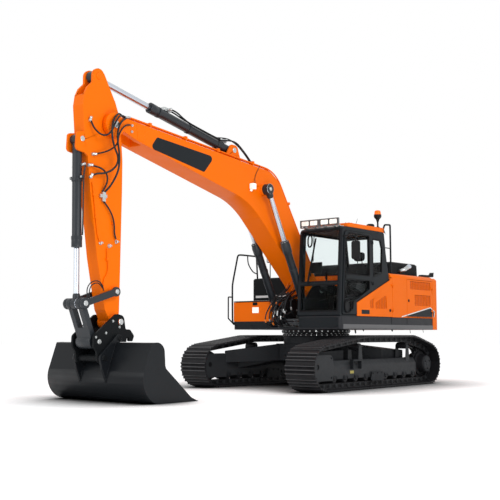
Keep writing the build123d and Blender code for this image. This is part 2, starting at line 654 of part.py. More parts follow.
def fuel_tank():
    """Tank behind the tool box, on the right-hand side."""
    rear, well = HOUSE_FRONT + 10, -WELL_HALF - 20
    edge = [(rear, -DECK_HALF, 60), (290, -DECK_HALF, 60), (290, well, 60), (rear, well, 60)]
    upper = plan(edge, DECK_TOP, 2080)
    top = [item for item in upper.edges() if item.center().Z > 2079]
    return upper.chamfer(28, None, top).fuse(*LID_HINGES[1])


def tool_box():
    """Open box at the right-hand front, closed by its lid."""
    out, well = -DECK_HALF - 5, -WELL_HALF - 10
    edge = [(305, out, 20), (885, out, 40), (885, well, 40), (305, well, 20)]
    hollow = [(317, out + 12, 10), (873, out + 12, 30), (873, well - 12, 30), (317, well - 12, 10)]
    return plan(edge, BOX_FLOOR, 1585).cut(plan(hollow, BOX_FLOOR + 12, 1600))


def tool_box_lid():
    """Flat step that closes the tool box."""
    out, well = -DECK_HALF - 5, -WELL_HALF - 5
    edge = [(305, out, 20), (890, out, 40), (890, well, 40), (305, well, 20)]
    return plan(edge, LID_Z - 18, LID_Z).fuse(*LID_HINGES[0])


def handrails():
    """Climbing rails at the right-hand front and behind the cab."""
    rim, out = -DECK_HALF - SEAT, -DECK_HALF - RAIL_OUT
    climb = [
        (850, rim, 1180), (850, out, 1180), (858, out, 1934), (690, out, 2525), (100, out, 2545),
        (60, out, 1990),
        (60, rim, 1990),
    ]
    toe = -DECK_HALF + 75
    low = [(885 + SEAT, toe, 1560), (992, toe, 1560), (992, toe, 1170), (880 + SEAT, toe, 1170)]
    corner = CAB_Y1 - 65
    rear = [(-405, corner, 2925), (-480, corner, 3040), (-680, corner, 3060), (-690, corner, ROOF_Z + SEAT)]
    return [tube_run(climb, TUBE_R, 22), tube_run(low, 13, 25), tube_run(rear, TUBE_R, 30)]


# Cab


# Outlines of the cab's side, as (x, z, corner radius)
CAB_SIDE = (
    (1190, DECK_TOP, 30), (1082, CAB_TOP, 110), (-345, CAB_TOP, 60),
    (-400, 2500, 0), (-511, 1993, 0), (-511, DECK_TOP, 0),
)
CAB_INSIDE = (
    (1148, 1330, 20), (1047, 2840, 80), (-312, 2840, 30), (-360, 2492, 0), (-471, 1990, 0), (-471, 1330, 0),
)
DOOR_EDGE = (
    (1125, 1322, 30), (1024, 2800, 90), (125, 2800, 70), (125, 1765, 20), (655, 1560, 20), (655, 1322, 10),
)
DOORWAY = (
    (1134, 1314, 36), (1032, 2808, 96), (117, 2808, 76), (117, 1758, 20), (647, 1553, 20), (647, 1314, 10),
)
UPPER_PANE = ((1036, 2028, 30), (998, 2665, 60), (885, 2772, 70), (210, 2768, 50), (205, 2028, 30))
LOWER_PANE = (
    (1060, 1400, 30), (1038, 1945, 20), (215, 1945, 20), (215, 1790, 30), (760, 1545, 30), (790, 1400, 30),
)
REAR_PANE = (
    (62, 2720, 30), (-205, 2720, 40), (-268, 2575, 40), (-242, 2115, 50), (5, 2035, 30), (62, 2035, 20),
)
RIGHT_PANE = (
    (1020, 1500, 60), (945, 2780, 80), (-270, 2780, 60), (-320, 2450, 40), (-380, 2080, 60), (-100, 1700, 80),
)

FRONT_PANES = ((90, 560), (610, 1530))      # distances up the cab's front edge
FRONT_PANE_Y = (CAB_Y0 + 55, CAB_Y1 - 55)
BACK_PANE_Y = (CAB_Y0 + 80, CAB_Y1 - 80)


def front_slab(low, high, y_low, y_high, near, far):
    """A slab that leans with the windscreen, between two distances up the cab's front edge."""
    foot, head = CAB_SIDE[0][:2], CAB_SIDE[1][:2]
    corners = [beside(foot, head, *place) for place in ((low, near), (low, far), (high, far), (high, near))]
    return side_plate(corners, y_low, y_high)


def cab_shell():
    """Cab frame with full walls and its window openings."""
    outer = side(CAB_SIDE, CAB_Y0, CAB_Y1)
    inner = side(CAB_INSIDE, CAB_Y0 + CAB_WALL, CAB_Y1 - CAB_WALL)
    shell = outer.cut(inner)
    shell = shell.cut(side(DOORWAY, CAB_Y1 - CAB_WALL - 1, CAB_Y1 + 1))
    shell = shell.cut(side(REAR_PANE, CAB_Y1 - CAB_WALL - 1, CAB_Y1 + 1))
    shell = shell.cut(side(RIGHT_PANE, CAB_Y0 - 1, CAB_Y0 + CAB_WALL + 1))
    for low, high in FRONT_PANES:
        shell = shell.cut(front_slab(low, high, *FRONT_PANE_Y, -20, 70))
    shell = shell.cut(box(-560, -200, *BACK_PANE_Y, 2140, 2770))
    return shell.fuse(*CAB_HINGES[1])


def cab_roof():
    """Roof cap."""
    edge = [(905, CAB_TOP, 0), (860, CAB_TOP + 78, 40), (-340, ROOF_CROWN, 40), (-398, CAB_TOP, 0)]
    return side(edge, CAB_Y0 + 5, CAB_Y1 - 5)


def cab_glass():
    """Panes seated in the cab's window openings."""
    middle = (CAB_WALL + GLASS) / 2
    rear = side(REAR_PANE, CAB_Y1 - middle, CAB_Y1 - middle + GLASS)
    right = side(RIGHT_PANE, CAB_Y0 + middle - GLASS, CAB_Y0 + middle)
    near, far = FRONT_PANE_Y[0] + SEAT, FRONT_PANE_Y[1] - SEAT
    fronts = [front_slab(low + SEAT, high - SEAT, near, far, 14, 14 + GLASS) for low, high in FRONT_PANES]
    lean = [(-460.6, 2141), (-382, 2500), (-343, 2769)]
    lean += [(x + GLASS, z) for x, z in reversed(lean)]
    back = side_plate(lean, BACK_PANE_Y[0] + SEAT, BACK_PANE_Y[1] - SEAT)
    return [rear, right, *fronts, back]


def cab_door():
    """Door frame with its two window openings."""
    leaf = side(DOOR_EDGE, DOOR_Y0, DOOR_Y1)
    leaf = leaf.cut(side(UPPER_PANE, DOOR_Y0 - 1, DOOR_Y1 + 1))
    leaf = leaf.cut(side(LOWER_PANE, DOOR_Y0 - 1, DOOR_Y1 + 1))
    return leaf.fuse(*CAB_HINGES[0])


def cab_door_glass():
    """The door's two panes."""
    y = (DOOR_Y0 + DOOR_Y1 - GLASS) / 2
    return [side(pane, y, y + GLASS) for pane in (UPPER_PANE, LOWER_PANE)]


def seat():
    """Driver's seat on its pedestal."""
    forms = (
        (0.72, [(0, 1330, 0), (0, 1600, 0), (380, 1600, 0), (380, 1330, 0)]),
        (1.0, [(-60, 1560, 40), (-60, 1680, 40), (470, 1700, 60), (470, 1560, 40)]),
        (0.96, [(-90, 1640, 40), (-230, 2330, 60), (-120, 2360, 50), (40, 1660, 40)]),
        (0.48, [(-235, 2340, 30), (-255, 2520, 40), (-150, 2530, 40), (-125, 2350, 30)]),
    )
    made = [
        side(edge, CAB_MIDDLE - share * SEAT_HALF, CAB_MIDDLE + share * SEAT_HALF)
        for share, edge in forms
    ]
    return made[0].fuse(*made[1:])


def consoles():
    """Arm rests beside the seat and the display post."""
    made = []
    edge = [
        (-50, 1330, 0), (-50, 1860, 40), (560, 1900, 60), (560, 1780, 60), (300, 1700, 40), (300, 1330, 0),
    ]
    for y0, y1 in ((CAB_Y0 + 60, CAB_MIDDLE - SEAT_HALF - 12), (CAB_MIDDLE + SEAT_HALF + 17, CAB_Y1 - 60)):
        made.append(side(edge, y0, y1))
    return made


def light_bar():
    """Two framed pairs of work lamps over the windscreen."""
    made = []
    low, high = CAB_TOP + 10, CAB_TOP + 150
    half = (CAB_Y1 - CAB_Y0) / 2 - 48
    for y0 in (CAB_Y0 + 20, CAB_Y0 + 440):
        y1 = y0 + half
        frame = box(1075, 1115, y0, y1, low, high).cut(box(1070, 1120, y0 + 12, y1 - 12, low + 12, high - 12))
        for y in (y0 + 24, y1 - 198):
            frame = frame.fuse(box(1060, 1110, y, y + 174, low + 25, high - 11))
        for y in (y0 + 60, y1 - 90):
            frame = frame.fuse(box(960, 1100, y, y + 20, low + 10, low + 25))
            frame = frame.fuse(box(960, 990, y, y + 20, CAB_TOP, low + 15))
        made.append(frame)
    return made


def beacon():
    """Warning lamp on its post at the roof's rear corner."""
    x, y = -280, CAB_Y1 - 95
    made = bar((x, y, ROOF_CROWN), (x, y, ROOF_CROWN + 194), 16)
    foot, head = ROOF_CROWN + 214, ROOF_CROWN + 324
    return made.fuse(bar((x, y, foot - 25), (x, y, foot), 62)).fuse(bar((x, y, foot), (x, y, head), 52))


def mirrors():
    """Left-hand mirror on the cab's front pillar and right-hand mirror on the climbing rail."""
    y = CAB_Y1 + 200
    left = box(1085, 1115, y, y + 170, 2270, 2590)
    stay = [(1085, CAB_Y1 + SEAT, 2660), (1085, y + 85, 2660), (1100, y + 85, 2580)]
    left = left.fuse(tube_run(stay, 12, 30))
    rail = -DECK_HALF - RAIL_OUT
    right = box(772, 802, rail - 90, rail + 80, 2330, 2620)
    right = right.fuse(bar((725, rail, 2475), (775, rail, 2475), 10))
    return [left, right]


# Working gear


def cylinder(base, tip, y, length, closed, barrel_r, rod_r, eye_r, base_half, tip_half, pin_r):
    """Barrel and rod of a cylinder between two (x, z) pins, at a distance y from the machine's middle."""
    reach = hypot(tip[0] - base[0], tip[1] - base[1])

    def at(distance):
        x, z = towards(base, tip, distance)
        return (x, y, z)

    barrel = cross_bar(base, eye_r, y - base_half, y + base_half)
    barrel = barrel.fuse(bar(at(eye_r - 20), at(length), barrel_r))
    barrel = barrel.fuse(bar(at(length - 130), at(length), barrel_r + GLAND_STEP))
    barrel = barrel.cut(bar(at(eye_r + 45), at(length + 5), rod_r + PIN_FIT))
    barrel = barrel.cut(cross_bar(base, pin_r + PIN_FIT, y - base_half - 1, y + base_half + 1))
    rod = bar(at(reach - closed + 150), at(reach - eye_r + 20), rod_r)
    return barrel, rod.fuse(cross_bar(tip, eye_r, y - tip_half, y + tip_half))


def boom():
    """Two-piece-bend boom box with its nose fork and cylinder ears."""
    edge = [
        (250, 1940, 0), (1537, 3868, 645), (5250, 4196, 0), (5500, 4060, 0), (4984, 3890, 60),
        (2284, 3267, 1500),
        (450, 1640, 110), (220, 1652, 0), (110, 1750, 0),
    ]
    body = side(edge, -BOOM_HALF, BOOM_HALF)
    for pivot, radius in ((BOOM_FOOT, 150), (ARM_PIVOT, 180)):
        body = body.fuse(cross_bar(pivot, radius, -BOOM_HALF, BOOM_HALF))
    boss = BOOM_CYL_Y - 58 - SIDE_GAP
    body = body.fuse(cross_bar(BOOM_CYL_EYE, 105, -boss, boss))
    body = body.cut(box(4840, 5700, -125, 125, 3700, 4400))
    body = body.fuse(cross_bar(ARM_PIVOT, PIN_R, -BOOM_HALF - 20, BOOM_HALF + 20))
    ear = [(2400, 3930, 0), (2515, 4235, 80), (2690, 4235, 80), (2850, 3970, 0)]
    body = body.fuse(*both(side(ear, 86, 116))).fuse(cross_bar(ARM_CYL_BASE, PIN_R, -124, 124))
    return body.cut(cross_bar(BOOM_FOOT, PIN_R + PIN_FIT, -BOOM_HALF - 1, BOOM_HALF + 1))


def boom_lamps():
    """Work lamp on its bracket, on the boom's left-hand side."""
    y = BOOM_HALF + SEAT
    lamp = side([(2225, 3488, 15), (2225, 3588, 15), (2320, 3588, 15), (2320, 3488, 15)], y + 16, y + 96)
    return lamp.fuse(side_plate([(2240, 3455), (2240, 3500), (2290, 3500), (2290, 3455)], y, y + 20))


def arm():
    """Arm box with its top and front ears, its tip bosses and its pins."""
    edge = [
        (5228, 1330, 0), (5215, 2100, 0), (5200, 3100, 0), (5200, 3560, 300), (5257, 4180, 300),
        (5370, 4450, 0),
        (5955, 4450, 20), (5982, 4280, 60), (5948, 3900, 60), (5880, 3580, 60), (5820, 3040, 0),
        (5730, 2490, 0),
        (5670, 2080, 0), (5510, 1330, 40), (5400, 1130, 0), (5240, 1130, 0),
    ]
    body = side(edge, -ARM_HALF, ARM_HALF)
    bosses = ((ARM_PIVOT, 130, ARM_HALF + 4), (ARM_TIP, 100, TIP_HALF), (GUIDE_FOOT, 70, TIP_HALF))
    for pivot, radius, half in bosses:
        body = body.fuse(cross_bar(pivot, radius, -half, half))
    top = [
        (5372, 4440, 0), (5588, 4812, 0), (5805, 4755, 0), (5805, 4650, 0), (5905, 4550, 30),
        (5957, 4440, 0),
    ]
    ear = side(top, 70, ARM_HALF).fuse(cross_bar(ARM_CYL_EYE, 115, 70, ARM_HALF))
    front = [
        (5900, 3920, 0), (5960, 3880, 40), (6085, 3860, 50), (6100, 3600, 60), (5930, 3575, 30),
        (5850, 3520, 0),
    ]
    body = body.fuse(*both(ear)).cut(cross_bar(BUCKET_CYL_BASE, 100, -78, 78))
    body = body.fuse(*both(side(front, 78, ARM_HALF)))
    pins = ((BUCKET_CYL_BASE, HEAD_PIN_R, 118), (GUIDE_FOOT, LINK_PIN_R, 208), (ARM_TIP, PIN_R, 256))
    for pivot, radius, half in pins:
        body = body.fuse(cross_bar(pivot, radius, -half, half))
    return body.cut(cross_bar(ARM_PIVOT, PIN_R + PIN_FIT, -120, 120))


def guide_bar():
    """Left-hand bar from the arm to the bucket link's top, with the pin stub that carries the link."""
    span = hypot(LINK_TOP[0] - GUIDE_FOOT[0], LINK_TOP[1] - GUIDE_FOOT[1])
    corners = ((0, -52), (span, -46), (span, 46), (0, 52))
    points = [beside(GUIDE_FOOT, LINK_TOP, *corner) for corner in corners]
    made = side_plate(points, BAR_IN, BAR_OUT).fuse(cross_bar(GUIDE_FOOT, 70, BAR_IN, BAR_OUT))
    made = made.fuse(cross_bar(LINK_TOP, 80, BAR_IN, BAR_OUT), cross_bar(LINK_TOP, LINK_PIN_R, 62, BAR_OUT))
    return made.cut(cross_bar(GUIDE_FOOT, LINK_PIN_R + PIN_FIT, BAR_IN - 1, BAR_OUT + 1))


def bucket_link():
    """Forked link from the bucket cylinder's end down to the coupler."""
    span = hypot(COUPLER_PIN[0] - LINK_TOP[0], COUPLER_PIN[1] - LINK_TOP[1])

    def slab(start, end, y_low, y_high):
        corners = ((start, -45), (end, -45), (end, 45), (start, 45))
        return side_plate([beside(LINK_TOP, COUPLER_PIN, *corner) for corner in corners], y_low, y_high)

    body = slab(350, span, -TIP_HALF, TIP_HALF).fuse(cross_bar(COUPLER_PIN, 100, -TIP_HALF, TIP_HALF))
    body = body.fuse(*both(slab(0, 360, 62, TIP_HALF).fuse(cross_bar(LINK_TOP, 80, 62, TIP_HALF))))
    return body.cut(cross_bar(LINK_TOP, LINK_PIN_R + PIN_FIT, -TIP_HALF - 1, TIP_HALF + 1))


def coupler():
    """Quick coupler: two hooked plates joined by a block."""
    edge = [
        (5820, 955, 70), (5405, 1268, 90), (5255, 1240, 80), (5218, 1042, 30), (5128, 1042, 50),
        (5046, 950, 50),
        (5078, 868, 25), (5152, 868, 20), (5160, 925, 15), (5190, 925, 15), (5203, 858, 15), (5467, 858, 15),
        (5581, 545, 60), (5750, 560, 75), (5765, 720, 40), (5825, 800, 70),
    ]
    body = box(5240, 5500, -PLATE_IN - 1, PLATE_IN + 1, 870, 945)
    bosses = [cross_bar(pin, 62, BAR_IN, PLATE_IN + 1) for pin in (ARM_TIP, COUPLER_PIN)]
    body = body.fuse(*both(side(edge, PLATE_IN, PLATE_OUT).fuse(*bosses)))
    body = body.cut(cross_bar(ARM_TIP, PIN_R + PIN_FIT, -PLATE_OUT - 1, PLATE_OUT + 1))
    body = body.cut(cross_bar(FRONT_PIN, HEAD_PIN_R + SEAT, -PLATE_OUT - 1, PLATE_OUT + 1))
    return body.cut(cross_bar(REAR_PIN, HEAD_PIN_R + SEAT, -PLATE_OUT - 1, PLATE_OUT + 1))


BUCKET_EDGE = (
    (5453, 851, 20), (5208, 862, 150), (5180, 500, 90), (4640, 60, 200), (4490, 0, 0), (5757, 0, 340),
)
BUCKET_HOLLOW = (
    (4300, -5, 0), (4472, -5, 0), (4610, 34, 0), (4700, 34, 0), (4720, 18, 0), (5731.5, 18, 322),
    (5465, 764, 20), (5372, 764, 20), (5372, 920, 0), (4300, 920, 0),
)
EAR_EDGE = (
    (5375, 853, 0), (5318, 900, 30), (5330, 968, 50), (5425, 968, 50), (5620, 780, 80), (5757, 660, 75),
    (5705, 480, 60), (5614, 285, 0), (5602, 290, 0), (5586, 451, 0), (5444, 848, 0),
)


def bucket():
    """Wide grading bucket with a smooth lip, its ears and its two pins."""
    body = side(BUCKET_EDGE, -BUCKET_HALF, BUCKET_HALF)
    body = body.cut(side(BUCKET_HOLLOW, -BUCKET_HALF + 20, BUCKET_HALF - 20))
    body = body.fuse(*both(side(EAR_EDGE, EAR_IN, EAR_OUT)))
    body = body.fuse(cross_bar(FRONT_PIN, HEAD_PIN_R, -EAR_OUT - 10, EAR_OUT + 10))
    return body.fuse(*both(cross_bar(REAR_PIN, HEAD_PIN_R, PLATE_IN - 5, EAR_OUT + 12)))


BOOM_LEFT = cylinder(BOOM_CYL_BASE, BOOM_CYL_EYE, BOOM_CYL_Y, 1600, 1750, 70, 45, 95, 66, 58, PIN_R)
ARM_CYL = cylinder(ARM_CYL_BASE, ARM_CYL_EYE, 0, 1980, 2150, 78, 50, 95, 80, 60, PIN_R)
BUCKET_CYL = cylinder(BUCKET_CYL_BASE, LINK_TOP, 0, 1560, 1670, 69, 40, 78, 70, 55, HEAD_PIN_R)

save("car_body", car_body())
save("swing_bearing", swing_bearing())
save("track_frame_left", track_frame())
save("track_frame_right", mirror_y(track_frame()))
save("idler_guard_left", idler_guard())
save("idler_guard_right", mirror_y(idler_guard()))
LEFT_TRACK = track()
save("track_left", LEFT_TRACK)
save("track_right", mirror_y(LEFT_TRACK))
save("idlers", idler(), mirror_y(idler()))
save("final_drives", final_drive(), mirror_y(final_drive()))
save("rollers_left", *rollers())
save("rollers_right", *[mirror_y(roller) for roller in rollers()])

save("deck", deck())
save("counterweight", counterweight())
save("engine", engine())
save("house_shell", house_shell())
save("left_front_door", left_front_door())
save("left_rear_door", rear_door())
save("right_door", mirror_y(rear_door()))
save("engine_hood", engine_hood())
save("exhaust", exhaust())
save("tail_guard", tail_guard())
save("fuel_tank", fuel_tank())
save("tool_box", tool_box())
save("tool_box_lid", tool_box_lid())
save("handrails", *handrails())
save("cab_shell", cab_shell())
save("cab_roof", cab_roof())
save("cab_glass", *cab_glass())
save("cab_door", cab_door())
save("cab_door_glass", *cab_door_glass())
save("seat", seat())
save("consoles", *consoles())
save("light_bar", *light_bar())
save("beacon", beacon())
save("mirrors", *mirrors())

save("boom", boom())
save("boom_lamps", boom_lamps(), mirror_y(boom_lamps()))
save("arm", arm())
save("boom_cylinder_barrel_left", BOOM_LEFT[0])
save("boom_cylinder_barrel_right", mirror_y(BOOM_LEFT[0]))
save("boom_cylinder_rod_left", BOOM_LEFT[1])
save("boom_cylinder_rod_right", mirror_y(BOOM_LEFT[1]))
save("arm_cylinder_barrel", ARM_CYL[0])
save("arm_cylinder_rod", ARM_CYL[1])
save("bucket_cylinder_barrel", BUCKET_CYL[0])
save("bucket_cylinder_rod", BUCKET_CYL[1])
save("guide_links", *both(guide_bar()))
save("bucket_link", bucket_link())
save("coupler", coupler())
save("bucket", bucket())
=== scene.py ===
"""Blender scene of a crawler excavator: finishes, small parts, hoses, light and camera.

Lengths are metres. X runs forward, Y to the machine's left and Z up from the ground. Side outlines are
(x, z) points, and a hand of 1 or -1 stands for the machine's left or right side.
"""
import math

import bmesh
import bpy
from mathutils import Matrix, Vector


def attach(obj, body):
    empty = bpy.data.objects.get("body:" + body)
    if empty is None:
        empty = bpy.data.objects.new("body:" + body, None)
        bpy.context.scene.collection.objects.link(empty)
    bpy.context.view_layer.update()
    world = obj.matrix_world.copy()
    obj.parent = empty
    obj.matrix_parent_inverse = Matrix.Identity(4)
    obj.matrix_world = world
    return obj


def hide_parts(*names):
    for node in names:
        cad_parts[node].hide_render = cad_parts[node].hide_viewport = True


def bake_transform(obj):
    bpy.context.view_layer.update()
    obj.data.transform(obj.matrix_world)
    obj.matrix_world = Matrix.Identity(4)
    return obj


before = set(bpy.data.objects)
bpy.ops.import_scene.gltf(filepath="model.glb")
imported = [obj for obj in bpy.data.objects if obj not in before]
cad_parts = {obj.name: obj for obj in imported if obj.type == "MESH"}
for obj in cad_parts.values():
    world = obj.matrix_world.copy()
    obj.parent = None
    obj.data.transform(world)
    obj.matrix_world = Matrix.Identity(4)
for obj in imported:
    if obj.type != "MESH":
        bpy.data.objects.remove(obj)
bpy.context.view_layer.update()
scene = bpy.context.scene
scene.view_settings.view_transform = "Standard"

BOTH_HANDS = (1, -1)
SIDES = (("left", 1), ("right", -1))
UP = (0, 0, 1)


# Camera, floor and light

CAMERA_PLACE = (14.35, 9.996, 0.97)
CAMERA_YAW = -140.966
CAMERA_PITCH = 5.352
CAMERA_LENS = 64.8
WORLD_LIGHT = 0.8        # strength of the white surroundings as light; they are seen at 1
FLOOR_HALF = 60
FLOOR_TONE = 0.8
SEEN_FLOOR = (1.29, 1.29, 1.3)
PAINTED_SHADOW_REACH = 1.7        # how near to the machine the seen floor's colour begins to darken, as painted shadow
PAINTED_SHADOW_POWER = 2.4


def add_camera():
    data = bpy.data.cameras.new("camera")
    data.lens = CAMERA_LENS
    data.sensor_width = 36.0
    data.clip_end = 300.0
    camera = bpy.data.objects.new("camera", data)
    camera.location = CAMERA_PLACE
    camera.rotation_euler = (math.radians(90 + CAMERA_PITCH), 0, math.radians(CAMERA_YAW - 90))
    scene.collection.objects.link(camera)
    scene.camera = camera


def add_lamp(name, place, target, size, power):
    """A soft square lamp that faces a point."""
    data = bpy.data.lights.new(name, "AREA")
    data.shape = "SQUARE"
    data.size = size
    data.energy = power
    lamp = bpy.data.objects.new(name, data)
    lamp.visible_camera = False
    lamp.location = place
    way = Vector(target) - Vector(place)
    lamp.rotation_euler = way.to_track_quat("-Z", "Y").to_euler()
    scene.collection.objects.link(lamp)


def set_inputs(node, **values):
    """Sets a shader node's inputs; an underscore stands for a space in an input's name."""
    for name, value in values.items():
        node.inputs[name.replace("_", " ")].default_value = value


def add_node(tree, kind, operation=None, **values):
    node = tree.nodes.new("ShaderNode" + kind)
    if operation:
        node.operation = operation
    set_inputs(node, **values)
    return node


def split_rays(tree, light, shown, output):
    """Rays of the camera, of mirror surfaces and of glass meet the second shader, all others the first."""
    path = add_node(tree, "LightPath")
    seen = path.outputs["Is Camera Ray"]
    for name in ("Is Glossy Ray", "Is Transmission Ray"):
        larger = add_node(tree, "Math", "MAXIMUM")
        tree.links.new(seen, larger.inputs[0])
        tree.links.new(path.outputs[name], larger.inputs[1])
        seen = larger.outputs[0]
    mix = add_node(tree, "MixShader")
    out = add_node(tree, output)
    tree.links.new(seen, mix.inputs["Fac"])
    tree.links.new(light.outputs[0], mix.inputs[1])
    tree.links.new(shown.outputs[0], mix.inputs[2])
    tree.links.new(mix.outputs[0], out.inputs["Surface"])


def add_world():
    world = bpy.data.worlds.new("studio")
    scene.world = world
    world.use_nodes = True
    tree = world.node_tree
    tree.nodes.clear()
    light = add_node(tree, "Background", Color=(1, 1, 1, 1), Strength=WORLD_LIGHT)
    shown = add_node(tree, "Background", Color=(1, 1, 1, 1), Strength=1.0)
    split_rays(tree, light, shown, "OutputWorld")


def add_floor():
    """A white floor that keeps the machine's soft shadow, and whose seen colour is also darkened near the
    machine by ambient occlusion: painted shadow.
    """
    low, high = -FLOOR_HALF, FLOOR_HALF
    mesh = bpy.data.meshes.new("floor")
    mesh.from_pydata([(low, low, 0), (high, low, 0), (high, high, 0), (low, high, 0)], [], [(0, 1, 2, 3)])
    floor = bpy.data.objects.new("floor", mesh)
    scene.collection.objects.link(floor)
    material = bpy.data.materials.new("floor")
    material.use_nodes = True
    tree = material.node_tree
    tree.nodes.clear()
    matt = add_node(tree, "BsdfDiffuse", Color=(FLOOR_TONE, FLOOR_TONE, FLOOR_TONE, 1))
    shown = add_node(tree, "BsdfDiffuse")
    # Ambient occlusion darkens the seen floor's colour near the machine: painted shadow.
    near = add_node(tree, "AmbientOcclusion", Distance=PAINTED_SHADOW_REACH)
    near.samples = 8
    deep = add_node(tree, "Math", "POWER")
    deep.inputs[1].default_value = PAINTED_SHADOW_POWER
    bright = add_node(tree, "VectorMath", "SCALE")
    bright.inputs[0].default_value = SEEN_FLOOR
    tree.links.new(near.outputs["AO"], deep.inputs[0])
    tree.links.new(deep.outputs[0], bright.inputs["Scale"])
    tree.links.new(bright.outputs[0], shown.inputs["Color"])
    split_rays(tree, matt, shown, "OutputMaterial")
    mesh.materials.append(material)


# Finishes


def finish(name, colour, rough, metal=0.0, blotch=(1.2, 0.08), grain=(90, 0.05), bump=(300, 0.02),
           sheen=0.0, spec=0.2):
    """A painted, cast or moulded surface: slow and fine changes of tone, uneven gloss and a light texture.

    blotch, grain and bump are pairs of a noise scale and its strength.
    """
    material = bpy.data.materials.new(name)
    material.use_nodes = True
    tree = material.node_tree
    shader = tree.nodes["Principled BSDF"]
    set_inputs(shader, Metallic=metal, Specular_IOR_Level=spec, Sheen_Weight=sheen)
    place = add_node(tree, "TexCoord")

    def noise(scale, detail):
        node = add_node(tree, "TexNoise", Scale=scale, Detail=detail)
        tree.links.new(place.outputs["Object"], node.inputs["Vector"])
        return node.outputs["Fac"]

    def ranged(value, low, high):
        node = add_node(tree, "MapRange", From_Min=0.25, From_Max=0.75, To_Min=low, To_Max=high)
        tree.links.new(value, node.inputs["Value"])
        return node.outputs["Result"]

    tone = add_node(tree, "Math", "MULTIPLY")
    tree.links.new(ranged(noise(blotch[0], 4), 1 - blotch[1], 1 + blotch[1] / 2), tone.inputs[0])
    tree.links.new(ranged(noise(grain[0], 3), 1 - grain[1], 1 + grain[1]), tone.inputs[1])
    shade = add_node(tree, "VectorMath", "SCALE")
    shade.inputs[0].default_value = colour
    tree.links.new(tone.outputs[0], shade.inputs["Scale"])
    tree.links.new(shade.outputs[0], shader.inputs["Base Color"])
    gloss = ranged(noise(blotch[0] * 5, 5), rough * 0.85, min(rough * 1.2, 1))
    tree.links.new(gloss, shader.inputs["Roughness"])
    relief = add_node(tree, "Bump", Strength=bump[1], Distance=0.004)
    tree.links.new(noise(bump[0], 2), relief.inputs["Height"])
    tree.links.new(relief.outputs[0], shader.inputs["Normal"])
    return material


def clear(name, colour):
    """Smooth window glass."""
    material = finish(name, colour, 0.0, blotch=(3, 0.01), grain=(40, 0.01), bump=(2, 0.001))
    shader = material.node_tree.nodes["Principled BSDF"]
    for link in list(shader.inputs["Roughness"].links):
        material.node_tree.links.remove(link)
    set_inputs(shader, Transmission_Weight=1.0, IOR=1.07, Roughness=0.0)
    return material


def glowing(name, colour, strength, rough):
    material = finish(name, colour, rough, bump=(60, 0.2))
    shader = material.node_tree.nodes["Principled BSDF"]
    set_inputs(shader, Emission_Color=(*colour, 1), Emission_Strength=strength)
    return material


ORANGE = finish("orange_paint", (0.9, 0.158, 0.0005), 0.38, blotch=(0.8, 0.05),
                grain=(60, 0.02), bump=(240, 0.02), spec=0.09)
DARK = finish("dark_paint", (0.011, 0.014, 0.017), 0.42, grain=(70, 0.06), spec=0.12)
BELT = finish("belt_paint", (0.024, 0.025, 0.029), 0.42, grain=(70, 0.06), spec=0.14)
BLACK = finish("black_paint", (0.006, 0.007, 0.008), 0.46, grain=(80, 0.1), spec=0.08)
STEEL = finish("track_steel", (0.015, 0.015, 0.017), 0.42, blotch=(6, 0.25), grain=(160, 0.2),
               bump=(180, 0.12), spec=0.14)
FRAME = finish("frame_paint", (0.018, 0.02, 0.023), 0.46, blotch=(3, 0.12),
               grain=(140, 0.12), bump=(200, 0.08), spec=0.12)
CYLINDER = finish("cylinder_paint", (0.022, 0.026, 0.031), 0.32, grain=(90, 0.08), spec=0.28)
CHROME = finish("rod_chrome", (0.56, 0.6, 0.66), 0.22, metal=1.0, blotch=(3, 0.02),
                grain=(60, 0.01), bump=(60, 0.0))
ZINC = finish("zinc_plate", (0.56, 0.58, 0.58), 0.28, metal=0.9, blotch=(20, 0.2),
              grain=(200, 0.1))
BUCKET = finish("bucket_steel", (0.0075, 0.009, 0.011), 0.32, blotch=(1.5, 0.15),
                grain=(120, 0.1), bump=(120, 0.03), spec=0.16)
RUBBER = finish("rubber", (0.012, 0.013, 0.015), 0.45, grain=(200, 0.15), bump=(400, 0.2),
                spec=0.25)
SEAL = finish("seal_rubber", (0.006, 0.006, 0.007), 0.5, grain=(200, 0.1), bump=(400, 0.1),
              spec=0.1)
PLASTIC = finish("plastic", (0.01, 0.011, 0.012), 0.5, grain=(300, 0.15), bump=(700, 0.25),
                 spec=0.15)
CLOTH = finish("seat_cloth", (0.01, 0.011, 0.013), 0.85, grain=(500, 0.4), bump=(900, 0.6),
               sheen=0.06, spec=0.1)
ENGINE = finish("engine_grey", (0.1, 0.11, 0.12), 0.5, blotch=(4, 0.2))
# Light steel for strips on the grousers: painted highlight.
GROUSER_HIGHLIGHT = finish("worn_grouser", (0.066, 0.067, 0.07), 0.36, blotch=(5, 0.3), grain=(150, 0.2),
              spec=0.3)
AMBER = glowing("beacon_amber", (0.95, 0.16, 0.005), 0.22, 0.2)
# Faint glow on the tail reflectors and the belt buckle, which are no lamps: painted glow over their own
# colour.
RED_GLOW = glowing("reflector_red", (0.6, 0.015, 0.01), 0.05, 0.2)
LENS = glowing("lamp_lens", (0.95, 0.94, 0.88), 0.35, 0.15)
PALE = finish("plate_silver", (0.6, 0.6, 0.6), 0.35, metal=0.3)
MIRROR = finish("mirror_glass", (0.7, 0.74, 0.76), 0.04, metal=1.0, blotch=(1, 0.01),
                grain=(10, 0.005), bump=(5, 0.001))
GLASS = clear("glass", (0.9, 0.94, 0.94))
GUARD = finish("guard_paint", (0.028, 0.03, 0.033), 0.45, spec=0.14, blotch=(3, 0.12),
               grain=(140, 0.12), bump=(200, 0.08))
BAR = finish("lamp_housing", (0.16, 0.165, 0.17), 0.4, metal=0.4)
BRIGHT = finish("fitting_orange", (0.75, 0.2, 0.03), 0.35, metal=0.3)
BRASS = finish("plate_brass", (0.42, 0.36, 0.1), 0.4, metal=0.3)
